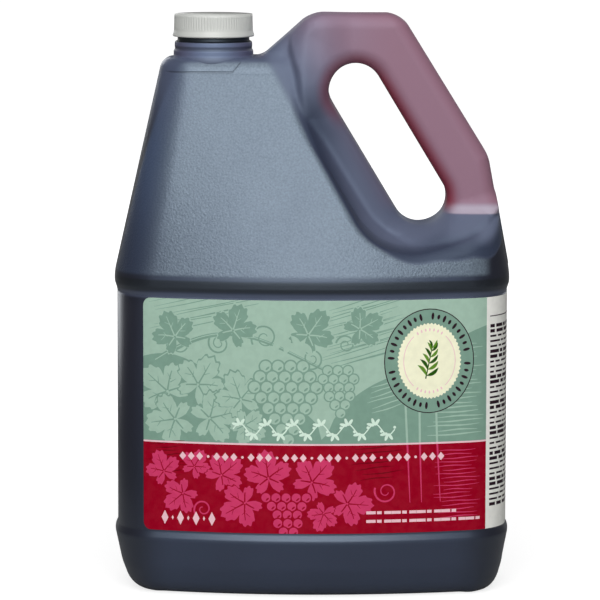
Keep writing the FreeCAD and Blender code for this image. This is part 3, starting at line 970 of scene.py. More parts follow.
@dataclass
class JugBase:
    """The jug's lower body: heel, ridge and sunk panel, one profile carried round the plan."""

    plan: Plan
    quarter_steps: int = 72
    most_inset: float = 26.5
    fuller_right: float = 0.3
    fuller_left: float = 0.12
    fuller_heights: Span = (24.0, 10.0)
    fuller_sides: Span = (0.05, 0.6)
    profile: Corners = (
        (33.0, 3.0, 0.0), (25.0, 0.0, 1.5), (9.8, 0.0, 14.0), (3.2, 15.0, 22.0), (0.0, 29.2, 6.0),
        (0.0, 30.7, 3.0), (1.3, 33.6, 3.0), (1.3, 154.2, 0.0),
    )

    def build(self, material: bpy.types.Material) -> bpy.types.Object:
        """Make the lower body.

        Args:
            material: The plastic.

        Returns:
            The piece, each point of which is the plan's point less its normal times the profile's
            inset, at the profile's height. Near the base the inset is less on the right and left.
        """
        path = rounded_path(self.profile)
        path = path[np.r_[True, np.hypot(*np.diff(path, axis=0).T) > 1e-6]]
        point, normal = self.plan.closed(self.quarter_steps)
        reach = np.minimum(path[:, 0], self.most_inset)
        full = (self.fuller_right * smoothstep(normal[:, 0], *self.fuller_sides)
                + self.fuller_left * smoothstep(-normal[:, 0], *self.fuller_sides))
        full = 1.0 - full[None] * smoothstep(path[:, 1], *self.fuller_heights)[:, None]
        flat = point[None] - normal[None] * (reach[:, None] * full)[..., None]
        tube = closed_tube(lift(flat, path[:, 1]))
        piece = make_piece("jug_base", tube, "bottle", [material])
        piece.data.polygons[-1].use_smooth = False
        return piece


@dataclass
class Recess:
    """The room beside the slot that the shoulder leaves free for a hand.

    It lies right of one wall, which draws back near the top, and above a floor that rises to the
    right. Both flare outwards, by a share of the distance past the plane at `flare_from`.
    """

    slot_low: Pair
    lean: float
    flare_from: float = 15.0
    wall_inner: Pair = (21.9, 0.485)
    wall_outer: Pair = (28.2, 0.15)
    wall_back: float = 7.5
    back_heights: Span = (240.0, 269.0)
    floor_drop: float = 23.0
    floor_flare: float = 0.2
    floor_turn: Pair = (42.2, -0.446)
    floor_rise: float = 18.0
    floor_level_at: float = 48.0
    corner: float = 19.9
    narrowing: float = 0.95

    def distance(self, x: np.ndarray, deep: np.ndarray, z: np.ndarray) -> np.ndarray:
        """Distance to the room.

        Args:
            x: Points' X.
            deep: Points' distances from the middle plane.
            z: Points' Z.

        Returns:
            The distance to what lies beyond the wall and above the floor, with a round corner.
        """
        lean = math.radians(self.lean)
        low_x, low_z = self.slot_low
        beside = (low_x - x) * math.cos(lean) + (low_z - z) * math.sin(lean)
        out = deep - self.flare_from
        inner, outer = (start + flare * out for start, flare in (self.wall_inner, self.wall_outer))
        wall = np.minimum(inner, outer) - self.wall_back * smoothstep(z, *self.back_heights)
        past = np.clip(x - self.floor_turn[0] - self.floor_turn[1] * out, 0.0, None)
        level = np.clip(1 - out / self.floor_level_at, 0.0, 1.0)
        rising = past * math.tan(math.radians(self.floor_rise)) * level
        floor = low_z - self.floor_drop - self.floor_flare * out + rising
        return round_and((beside - wall) * self.narrowing, floor - z, self.corner)


@dataclass
class Handle:
    """The handle: a flat plate of six edges with a leaning slot through it and a thicker foot."""

    half_width: float
    ridge: float
    lean: float
    right_lean: float
    slot_low: Pair
    slot_high: Pair = (22.0, 256.3)
    slot_radius: float = 13.7
    slot_edge: float = 8.5
    top: float = 295.1
    valley: Pair = (-26.2, 273.0)
    valley_angle: float = 41.0
    bar: Pair = (102.98, 202.0)
    side_inset: float = 0.4
    corners: tuple[float, float, float] = (17.0, 14.0, 18.0)
    foot_edges: tuple[tuple[float, float, float, float], ...] = (
        (100.1, 169.0, 0.674, -0.739), (0.0, 143.0, -0.947, -0.321),
    )
    half: float = 17.0
    edge: float = 7.5
    broader: float = 5.0
    broader_left: Span = (-14.0, -2.0)
    broader_right: Span = (22.0, 4.0)
    broader_heights: Span = (238.0, 262.0)
    ledge_height: float = 199.2
    ledge_tilt: float = 0.45
    ledge_end: float = 70.0
    flare: float = 0.16
    flare_bend: float = 2.0
    second_ledge: float = 4.6
    second_flare: float = 0.3
    second_bend: float = 0.2
    foot_scale: float = 0.8
    foot_sink: float = 3.0
    foot_round: float = 9.0

    def outline(self, x: np.ndarray, z: np.ndarray) -> np.ndarray:
        """Distance to the plate's outline, as seen from the front.

        Args:
            x: Points' X.
            z: Points' Z.

        Returns:
            The distance to what lies within six straight edges, the free corners rounded.
        """
        lean, side, rise = (math.radians(a) for a in (self.lean, self.right_lean, self.valley_angle))
        left = (x - self.valley[0]) * -math.sin(rise) + (z - self.valley[1]) * math.cos(rise)
        bar = (x - self.bar[0]) * math.cos(lean) + (z - self.bar[1]) * math.sin(lean)
        right = self.half_width - self.side_inset - (z - self.ridge) * math.tan(side)
        by_left, by_bar, by_side = self.corners
        shape = round_and(z - self.top, left, corner_reach(by_left, self.valley_angle))
        shape = round_and(shape, bar, corner_reach(by_bar, 90.0 - self.lean))
        shape = round_and(shape, (x - right) * math.cos(side),
                          corner_reach(by_side, self.lean - self.right_lean))
        for at_x, at_z, across, up in self.foot_edges:
            shape = np.maximum(shape, (x - at_x) * across + (z - at_z) * up)
        return shape

    def plate(self, x: np.ndarray, deep: np.ndarray, z: np.ndarray, shoulder: np.ndarray) -> np.ndarray:
        """Distance to the plate with its foot, before the slot is cut.

        Args:
            x: Points' X.
            deep: Points' distances from the middle plane.
            z: Points' Z.
            shoulder: Points' distances to the whole shoulder.

        Returns:
            The lesser of two distances: to the plate, a little broader at the top left, and to a
            foot that flares below the ledge and stays within the shoulder.
        """
        outline = self.outline(x, z)
        drop = self.ledge_height - self.ledge_tilt * np.clip(self.ledge_end - x, 0.0, None) - z
        second = drop - self.second_ledge
        thick = (self.half + self.flare * (drop + np.sqrt(drop * drop + self.flare_bend))
                 + self.second_flare * (second + np.sqrt(second * second + self.second_bend)))
        broad = self.half + self.broader * (smoothstep(x, *self.broader_right)
                                            * smoothstep(x, *self.broader_left)
                                            * smoothstep(z, *self.broader_heights))
        foot = round_and(outline, (deep - thick) * self.foot_scale, self.edge)
        foot = round_and(foot, shoulder + self.foot_sink, self.foot_round)
        return np.minimum(round_and(outline, deep - broad, self.edge), foot)

    def slot(self, x: np.ndarray, z: np.ndarray) -> np.ndarray:
        """Distance to what the slot leaves.

        Args:
            x: Points' X.
            z: Points' Z.

        Returns:
            The slot's radius less the distance to its middle line.
        """
        low_x, low_z = self.slot_low
        run = np.array([self.slot_high[0] - low_x, self.slot_high[1] - low_z])
        share = np.clip(((x - low_x) * run[0] + (z - low_z) * run[1]) / (run @ run), 0.0, 1.0)
        return self.slot_radius - np.hypot(x - low_x - share * run[0], z - low_z - share * run[1])


@dataclass
class JugTop:
    """The jug's ridge, leaning shoulder, handle and the recess beside it, in one smooth skin.

    The skin is where a distance worked out from a few plain solids is nothing. Sizes are in
    millimetres and heights are from the base.
    """

    plan: Plan
    ridge: float = 163.0
    rise: float = 110.0
    left_lean: float = 12.7
    right_lean: float = 10.5
    slot_low: Pair = (55.1, 201.3)
    slot_lean: float = 31.8
    top_depth: float = 21.5
    top_corner: float = 17.0
    top_front: float = 2200.0
    top_side: float = 120.0
    least_corner: float = 4.0
    lean_scale: float = 0.96
    ridge_round: float = 6.0
    ridge_turn: float = 17.0
    ridge_softer: float = 0.3
    rim_round: float = 5.0
    seam: Span = (154.0, 153.2)
    seam_inset: float = 0.9
    crease_round: tuple[float, float, float] = (3.0, 2.0, 1.0)
    crease_right: Span = (30.0, 55.0)
    cove: float = 2.5
    cove_inside: float = 10.0
    cove_edge: Span = (3.0, -3.0)
    cove_high: Pair = (1.0, 9.0)
    cove_left: Span = (-16.0, -4.0)
    cove_out: Span = (9.0, 16.0)
    side_slope: float = 0.1853
    side_scale: float = 0.98
    high: Span = (228.0, 262.0)
    spacing: float = 1.25
    margin: float = 2.5
    floor: float = 152.0
    floor_edge: float = 0.6
    step: Corners = (
        (1.3, 100.0, 0.0), (1.3, 154.6, 3.0), (0.0, 158.6, 3.0), (0.0, 400.0, 0.0),
    )
    crease_bands: Corners = (
        (3.0, 28.0, 52.0), (3.0, 60.0, 80.0), (5.5, 80.0, 93.0),
    )

    recess: Recess = field(init=False)
    handle: Handle = field(init=False)

    def __post_init__(self) -> None:
        """Place the handle and the recess round the slot."""
        self.recess = Recess(self.slot_low, self.slot_lean)
        self.handle = Handle(self.plan.half_width, self.ridge, self.slot_lean, self.right_lean,
                             self.slot_low)

    def shoulder(self, x: np.ndarray, y: np.ndarray, z: np.ndarray) -> np.ndarray:
        """Distance to the body with its shoulder, before the recess is cut.

        Args:
            x: Points' X.
            y: Points' Y.
            z: Points' Z.

        Returns:
            The distance to the ridge's plan below, and above it to a plan that goes evenly over
            to the smaller one at the top.
        """
        plan, share = self.plan, (z - self.ridge) / self.rise
        left = -plan.half_width + self.rise * math.tan(math.radians(self.left_lean))
        right = plan.half_width - self.rise * math.tan(math.radians(self.right_lean))
        base = (plan.half_width, plan.half_depth, plan.corner, 1 / plan.front, 1 / plan.side)
        top = ((right - left) / 2, self.top_depth, self.top_corner, 1 / self.top_front, 1 / self.top_side)
        wide, deep, corner, front, side = (a + (b - a) * share for a, b in zip(base, top))
        sizes = (wide, deep, np.maximum(corner, self.least_corner), 1 / front, 1 / side)
        leaning = plan_distance(x - (left + right) / 2 * share, y, sizes)
        path = rounded_path(self.step)
        inset = np.interp(z, path[:, 1], path[:, 0])
        inset += self.seam_inset * smoothstep(z, *self.seam)
        upright = plan_distance(x, y, astuple(plan)) + inset
        ridge_reach = corner_reach(self.ridge_round, self.ridge_turn) + self.ridge_softer
        body = round_and(upright, leaning * self.lean_scale, ridge_reach)
        return round_and(body, z - self.ridge - self.rise, self.rim_round)

    def distance(self, place: np.ndarray) -> np.ndarray:
        """Distance from points to the skin.

        Args:
            place: Points, X, Y and Z in the last axis.

        Returns:
            The distance, negative inside. The shoulder less the recess is joined to the plate with
            a cove that is widest in the recess, and the slot and the right side are cut last.
        """
        x, y, z = (place[..., axis] for axis in range(3))
        deep = np.abs(y)
        whole = self.shoulder(x, y, z)
        recess = self.recess.distance(x, deep, z)
        high = smoothstep(z, *self.high)
        sharp, at_top, at_right = self.crease_round
        crease = sharp + at_top * high + at_right * smoothstep(x, *self.crease_right)
        body = round_and(whole, -recess, crease)
        least, more = self.cove_high
        outer = (least + more * smoothstep(x, *self.cove_left)) * high * smoothstep(deep, *self.cove_out)
        cove = self.cove + self.cove_inside * smoothstep(recess, *self.cove_edge) + outer
        joined = round_or(body, self.handle.plate(x, deep, z, whole), cove)
        skin = round_and(joined, self.handle.slot(x, z), self.handle.slot_edge)
        above = np.clip(z - self.ridge, 0.0, None)
        return np.maximum(skin, (x - self.plan.half_width + above * self.side_slope) * self.side_scale)

    def slope(self, place: np.ndarray, reach: float) -> np.ndarray:
        """Gradient of the distance to the skin.

        Args:
            place: Points.
            reach: Half the step that each difference is taken over.

        Returns:
            The three central differences.
        """
        steps = np.eye(3) * reach
        return np.stack([(self.distance(place + step) - self.distance(place - step)) / (2 * reach)
                         for step in steps], axis=-1)

    def build(self, material: bpy.types.Material) -> bpy.types.Object:
        """Make the upper body.

        A net of quads is wrapped round the skin, and its points are then moved onto it along the
        gradient. Each point keeps two lengths for the plastic's colours: its dip under the whole
        shoulder, and its way past the crease into the recess.

        Args:
            material: The plastic.

        Returns:
            The piece.
        """
        gap, margin = self.spacing, self.margin
        low = np.array([-self.plan.half_width - margin, -self.plan.half_depth - margin, self.floor - 2.0])
        high = np.array([self.plan.half_width + margin, self.plan.half_depth + margin,
                         self.handle.top + margin])
        axes = [np.arange(start, end + gap, gap) for start, end in zip(low, high)]
        place = np.stack(np.meshgrid(*axes, indexing="ij"), axis=-1)
        value = np.maximum(self.distance(place), self.floor - place[..., 2])
        points, faces = skin_net(value, low, gap)
        flat = points[:, 2] < self.floor + self.floor_edge
        for _ in range(3):
            slope = self.slope(points, 0.05)
            over = self.distance(points) / np.maximum((slope**2).sum(axis=1), 0.2)
            step = over[:, None] * slope
            step[flat] = 0.0
            points = points - np.clip(step, -gap, gap)
        normals = self.slope(points, 0.25)
        normals[flat] = (0.0, 0.0, -1.0)
        normals /= np.linalg.norm(normals, axis=1)[:, None]
        piece = make_piece("jug_top", (points, faces), "bottle", [material], normals)
        x, y, z = points.T
        band = sum(width * smoothstep(x, start, end) for width, start, end in self.crease_bands)
        lengths = {"dip": -self.shoulder(x, y, z), "crease": band - self.recess.distance(x, np.abs(y), z)}
        for name, value in lengths.items():
            layer = piece.data.attributes.new(name, "FLOAT", "POINT")
            layer.data.foreach_set("value", (value * MM).astype(np.float32))
        return piece


@dataclass
class Neck:
    """The jug's neck: its ring, the bead above it and the finish that goes into the cap."""

    axis_x: float
    steps: int = 144
    profile: Corners = (
        (21.6, 267.0, 0.0), (21.0, 272.2, 4.0), (20.4, 273.9, 1.2), (20.4, 275.9, 1.0), (19.7, 277.1, 1.0),
        (19.9, 278.4, 1.2), (19.8, 280.6, 1.0), (18.4, 281.2, 0.5), (18.3, 293.0, 0.0),
    )

    def build(self, material: bpy.types.Material) -> bpy.types.Object:
        """Turn the neck's profile round its axis.

        Args:
            material: The plastic.

        Returns:
            The piece, whose points are the profile's radius along each direction, at its height.
        """
        path = rounded_path(self.profile, 5)
        flat = path[:, 0][:, None, None] * round_turn(self.steps)[None] + (self.axis_x, 0.0)
        return make_piece("neck", closed_tube(lift(flat, path[:, 1])), "bottle", [material])


@dataclass
class Cap:
    """The screw cap: a hollow shell of fine upright ribs above a plain flared band."""

    axis_x: float
    ribs: int = 84
    steps_to_rib: int = 8
    depth: float = 0.22
    ribs_low: Span = (286.6, 288.0)
    ribs_high: Span = (294.2, 292.9)
    levels: tuple[float, float, int] = (287.6, 293.2, 12)
    bore: float = 18.5
    ceiling: float = 293.2
    profile: Corners = (
        (18.6, 283.4, 0.0), (20.5, 283.1, 0.5), (20.95, 283.7, 0.6), (20.2, 286.3, 4.0), (20.0, 294.6, 0.0),
    )

    def build(self, material: bpy.types.Material) -> bpy.types.Object:
        """Turn the cap's profile round its axis and press the ribs in.

        Args:
            material: The closure's plastic.

        Returns:
            The piece. Its radius falls by the ribs' depth times the square of half of one plus the
            cosine of the direction times their number, between the band and the rounded top.
        """
        path = rounded_path(self.profile, 6)
        levels = np.linspace(*self.levels)
        sides = np.interp(levels, path[:, 1], path[:, 0])
        path = np.concatenate([path[path[:, 1] < levels[0] - 0.1], np.column_stack([sides, levels]),
                               path[path[:, 1] > levels[-1] + 0.05]])
        steps = self.ribs * self.steps_to_rib
        turn = np.arange(steps) * 2 * math.pi / steps
        ring = round_turn(steps)
        zone = smoothstep(path[:, 1], *self.ribs_low) * smoothstep(path[:, 1], *self.ribs_high)
        groove = self.depth * (0.5 + 0.5 * np.cos(self.ribs * turn)) ** 2
        radius = path[:, 0][:, None] - zone[:, None] * groove[None]
        outside = lift(radius[..., None] * ring[None] + (self.axis_x, 0.0), path[:, 1])
        under = lift(self.bore * ring[None] + (self.axis_x, 0.0), np.array([self.ceiling]))
        tube = closed_tube(np.concatenate([under, outside]))
        return make_piece("cap_shell", tube, "cap", [material])


# ---------------------------------------------------------------------------------------
# The label
# ---------------------------------------------------------------------------------------


class Ink(Enum):
    """The colours that the label is printed in."""

    LEAF = srgb(161, 190, 173)
    SAGE = srgb(124, 157, 141)
    MINT = srgb(214, 236, 220)
    CRIMSON = srgb(152, 0, 32)
    WINE = srgb(116, 0, 20)
    ROSE = srgb(206, 58, 104)
    BLUSH = srgb(240, 196, 205)
    PAPER = srgb(238, 238, 232)
    CREAM = srgb(246, 245, 214)
    SOOT = srgb(44, 26, 36)
    SHOOT = srgb(96, 140, 40)
    FERN = srgb(40, 84, 16)

    def material(self) -> bpy.types.Material:
        """Build the ink on its satin film, a little uneven as print is.

        Returns:
            The material.
        """
        graph = Graph("label_" + self.name.lower())
        pale = tuple(min(1.0, channel * 1.05 + 0.004) for channel in self.value)
        mottle = graph.step(graph.noise(260.0, 4.0), (0.35, 0.65))
        graph.join(graph.blend(mottle, self.value, pale), graph.shader.inputs["Base Color"])
        graph.shader.inputs["Roughness"].default_value = 0.45
        graph.shader.inputs["IOR"].default_value = 1.12
        graph.bump(graph.noise(500.0), 0.00003, 0.15)
        return graph.material


@dataclass(frozen=True)
class Shape:
    """One closed printed shape: its outline on the flat label, in millimetres, and its ink."""

    outline: np.ndarray
    ink: Ink


def path_of(run: np.ndarray, level: np.ndarray) -> np.ndarray:
    """Pair runs and levels into flat points."""
    return np.stack([run, level], axis=-1)


def turned(points: np.ndarray, degrees: float, place: Sequence[float]) -> np.ndarray:
    """Turn points about nothing and move them to a place.

    Args:
        points: Flat points.
        degrees: The turn, to the left.
        place: Where the old origin goes.

    Returns:
        The new points.
    """
    turn = math.radians(degrees)
    matrix = np.array([[math.cos(turn), math.sin(turn)], [-math.sin(turn), math.cos(turn)]])
    return points @ matrix + np.asarray(place, dtype=float)


def ribbon(path: np.ndarray, width: object) -> np.ndarray:
    """Outline of a stroke along a path.

    Args:
        path: Points along its middle.
        width: The stroke's width, or its width at each of them.

    Returns:
        The path moved by half the width to one side, then back along the other.
    """
    along = np.gradient(path, axis=0)
    along /= np.linalg.norm(along, axis=1)[:, None]
    side = np.stack([-along[:, 1], along[:, 0]], axis=-1) * (np.broadcast_to(width, len(path)) / 2)[:, None]
    return np.concatenate([path - side, (path + side)[::-1]])


def stroke(path: np.ndarray, width: object, ink: Ink) -> Shape:
    """Return a printed stroke along a path, of one width or a width at each point."""
    return Shape(ribbon(path, width), ink)


def bar(start: float, low: float, end: float, high: float, ink: Ink) -> Shape:
    """Return a plain printed rectangle."""
    return Shape(np.array([[start, low], [end, low], [end, high], [start, high]]), ink)


def spot(place: Sequence[float], wide: float, tall: float, steps: int, ink: Ink,
         degrees: float = 0.0) -> Shape:
    """A printed ellipse, or a lozenge if it has four steps.

    Args:
        place: Its middle.
        wide: Half its width.
        tall: Half its height.
        steps: How many points its outline has.
        ink: Its ink.
        degrees: Its turn.

    Returns:
        The shape, its half sizes times the cosine and sine of each direction.
    """
    return Shape(turned(round_turn(steps) * (wide, tall), degrees, place), ink)


def hoop(place: Sequence[float], wide: float, tall: float, width: float, ink: Ink,
         span: Span = (0.0, 360.0)) -> list[Shape]:
    """An outlined ellipse or a part of one, as strokes that meet end to end.

    Args:
        place: Its middle.
        wide: Half its width.
        tall: Half its height.
        width: The stroke's width.
        ink: The stroke's ink.
        span: Directions of its two ends, in degrees.

    Returns:
        Its strokes.
    """
    cuts = np.linspace(span[0], span[1], 4 if span[1] - span[0] > 200 else 2)
    shapes = []
    for first, last in zip(cuts, cuts[1:]):
        turn = np.radians(np.linspace(first, last, 17))
        path = path_of(wide * np.cos(turn), tall * np.sin(turn)) + np.asarray(place)
        shapes.append(stroke(path, width, ink))
    return shapes


def tendril(place: Sequence[float], size: float, degrees: float, coils: float, ink: Ink) -> Shape:
    """A curling tendril, its radius shrinking evenly as it turns.

    Args:
        place: Where its foot stands.
        size: Its first radius.
        degrees: The turn of the whole tendril.
        coils: How many times it goes round, negative to the right.
        ink: Its ink.

    Returns:
        The tendril, a millimetre wide at its foot and less than half that at its tip.
    """
    share = np.linspace(0.0, 1.0, 46)
    turn = 2 * math.pi * coils * share
    radius = size * (1.0 - 0.8 * share)
    path = path_of(size - radius * np.cos(turn), radius * np.sin(turn))
    return stroke(turned(path, degrees, place), 1.0 - 0.55 * share, ink)


def vine_leaf(place: Sequence[float], size: float, degrees: float, ink: Ink, vein: Ink) -> list[Shape]:
    """A toothed vine leaf of five lobes with its veins.

    Args:
        place: Where the stalk joins it.
        size: Its length.
        degrees: The way it points, from straight up.
        ink: Its ink.
        vein: The ink of its veins.

    Returns:
        The leaf over a slightly larger one, and its veins. Its radius falls and rises with five
        lobes, ripples with teeth and is notched at the stalk.
    """
    turn = np.linspace(-math.pi, math.pi, 97)[:-1]
    turn = turn + 0.03 * np.sin(7 * turn)
    lobe = np.abs(np.cos(2.5 * turn)) ** 0.55
    reach = size * (0.34 + 0.5 * lobe + 0.2 * np.cos(turn)) * (1 + 0.06 * np.cos(24 * turn))
    reach *= 1.0 - 0.72 * np.exp(-(((np.abs(turn) - math.pi) / 0.28) ** 2))
    outline = path_of(reach * np.sin(turn), reach * np.cos(turn))[::-1]
    shapes = [Shape(turned(outline * grown, degrees, place), cover)
              for grown, cover in ((1.07, vein), (1.0, ink))]
    for lean, share in ((0.0, 0.86), (66.0, 0.68), (-66.0, 0.68), (128.0, 0.42), (-128.0, 0.42)):
        run = np.linspace(0.04, share, 9)
        path = path_of(size * 0.05 * np.sin(3.0 * run) * np.sign(lean), size * run)
        strokes = [(path, size * (0.06 - 0.045 * run))]
        for part, side in ((0.45, 1), (0.6, -1)) if share > 0.6 else ():
            twig = np.outer(np.linspace(0, 1, 4), (side * size * 0.16, size * 0.16))
            twig += (0.0, size * share * part)
            strokes.append((twig, np.array([0.028, 0.024, 0.018, 0.01]) * size))
        shapes += [stroke(turned(turned(line, lean, (0.0, 0.0)), degrees, place), width, vein)
                   for line, width in strokes]
    return shapes


def long_leaf(place: Sequence[float], size: float, degrees: float, ink: Ink, slim: float) -> Shape:
    """A plain narrow leaf with a bent middle line.

    Args:
        place: Its foot.
        size: Its length.
        degrees: The way it points, from straight up.
        ink: Its ink.
        slim: Half its width as a share of its length.

    Returns:
        The leaf, as wide as the sine of the way along it to the power of 0.8.
    """
    share = np.linspace(0.0, 1.0, 15)
    path = path_of(size * 0.12 * np.sin(math.pi * share), size * share)
    width = 2 * slim * size * np.sin(math.pi * np.clip(share, 0.02, 0.985)) ** 0.8
    return stroke(turned(path, degrees, place), width, ink)


def grapes(place: Sequence[float], size: float, ink: Ink, line: Ink, rows: Sequence[int]) -> list[Shape]:
    """A hanging bunch of round grapes.

    Args:
        place: The middle of its top row.
        size: A grape's radius.
        ink: The grapes' ink.
        line: The ink of their outlines and shaded sides.
        rows: How many grapes hang in each row.

    Returns:
        The grapes, each over a larger one that makes its outline, with a shaded side.
    """
    shapes = []
    for row, count in enumerate(rows):
        for step in range(count):
            middle = (place[0] + (step - (count - 1) / 2) * 1.9 * size + 0.3 * row,
                      place[1] - row * 1.62 * size)
            shapes.append(spot(middle, size * 1.1, size * 1.1, 20, line))
            shapes.append(spot(middle, size * 0.86, size * 0.86, 18, ink))
            shade = (middle[0] + 0.28 * size, middle[1] - 0.3 * size)
            shapes.append(spot(shade, size * 0.38, size * 0.16, 12, line, 42.0))
    return shapes


def hatching(low: Sequence[float], high: Sequence[float], gap: float, lean: float, width: float, ink: Ink,
             seed: int) -> list[Shape]:
    """Rows of engraved strokes in a rectangle.

    Args:
        low: The rectangle's lower left corner.
        high: Its upper right corner.
        gap: Height between two rows.
        lean: How much each stroke climbs for its length.
        width: The strokes' width.
        ink: Their ink.
        seed: Seed of the strokes' uneven ends.

    Returns:
        The strokes, each tapering to both ends.
    """
    chance = np.random.default_rng(seed)
    shapes = []
    for level in np.arange(low[1], high[1], gap):
        start = low[0] + chance.uniform(0.0, 0.25) * (high[0] - low[0])
        end = high[0] - chance.uniform(0.0, 0.25) * (high[0] - low[0])
        share = np.linspace(0.0, 1.0, 7)
        path = path_of(start + (end - start) * share,
                       level + lean * (end - start) * share + 0.25 * np.sin(6.0 * share + level))
        shapes.append(stroke(path, width * (0.25 + 0.75 * np.sin(math.pi * share)), ink))
    return shapes


@dataclass(frozen=True)
class Art:
    """The ornament's places on the flat label.

    A leaf has its foot, size and turn, and a tendril its coils as well. Hatching has two corners,
    its gap, climb, width, ink and seed, and a post has its foot and its lean.
    """

    hatched_green: tuple[tuple, ...] = (
        ((-86.0, 136.0), (-20.0, 152.0), 1.9, 0.22, 0.45, Ink.SAGE, 1),
        ((2.0, 118.0), (52.0, 150.0), 1.7, 0.28, 0.5, Ink.SAGE, 2),
        ((58.0, 84.0), (90.0, 132.0), 2.3, 0.03, 0.8, Ink.LEAF, 3),
        ((24.0, 96.0), (50.0, 112.0), 2.6, 0.3, 0.6, Ink.LEAF, 4),
    )
    hatched_crimson: tuple[tuple, ...] = (
        ((-86.0, 62.0), (-62.0, 79.0), 2.1, 0.12, 0.6, Ink.WINE, 5),
        ((62.0, 42.0), (88.0, 77.0), 2.0, 0.02, 0.55, Ink.ROSE, 6),
        ((20.0, 62.0), (48.0, 78.0), 2.6, 0.1, 0.7, Ink.WINE, 7),
    )
    sage_tendrils: tuple[tuple, ...] = (
        ((-74.0, 128.0), 6.5, 20.0, 1.6), ((-52.0, 134.0), 5.5, -30.0, -1.7),
        ((-30.0, 131.0), 7.0, 30.0, 1.5), ((-6.0, 123.0), 6.0, 10.0, -1.8),
        ((12.0, 132.0), 5.0, -10.0, 1.5), ((-66.0, 114.0), 4.0, 150.0, 1.3),
    )
    rose_tendrils: tuple[tuple, ...] = (((-58.0, 42.0), 5.0, 60.0, 1.4), ((32.0, 58.0), 6.0, -20.0, -1.5))
    sage_leaves: tuple[tuple, ...] = (
        ((-70.0, 134.0), 13.0, 24.0), ((-40.0, 138.0), 13.0, -18.0),
        ((-2.0, 136.0), 14.0, -35.0), ((24.0, 139.0), 12.0, -62.0),
    )
    pale_leaves: tuple[tuple, ...] = (
        ((-74.0, 106.0), 16.0, 50.0), ((-58.0, 110.0), 15.0, -30.0), ((-70.0, 92.0), 15.0, 100.0),
        ((-52.0, 93.0), 15.0, -75.0), ((-36.0, 103.0), 14.0, 20.0), ((-34.0, 90.0), 11.0, -120.0),
    )
    rose_leaves: tuple[tuple, ...] = (
        ((-76.0, 65.0), 10.5, 20.0), ((-60.0, 68.0), 9.0, -30.0), ((-66.0, 54.0), 11.0, 130.0),
        ((-46.0, 64.0), 12.0, -50.0), ((-22.0, 63.0), 13.5, 8.0), ((-34.0, 50.0), 13.0, 120.0),
        ((0.0, 61.0), 13.5, -40.0), ((18.0, 50.0), 12.5, -95.0), ((6.0, 45.0), 9.0, 160.0),
    )
    green_posts: tuple[Pair, ...] = ((47.0, 1.5), (54.5, 0.5), (63.0, 1.0))
    crimson_posts: tuple[Pair, ...] = ((48.5, 1.5), (55.0, 1.0), (64.0, 1.8))


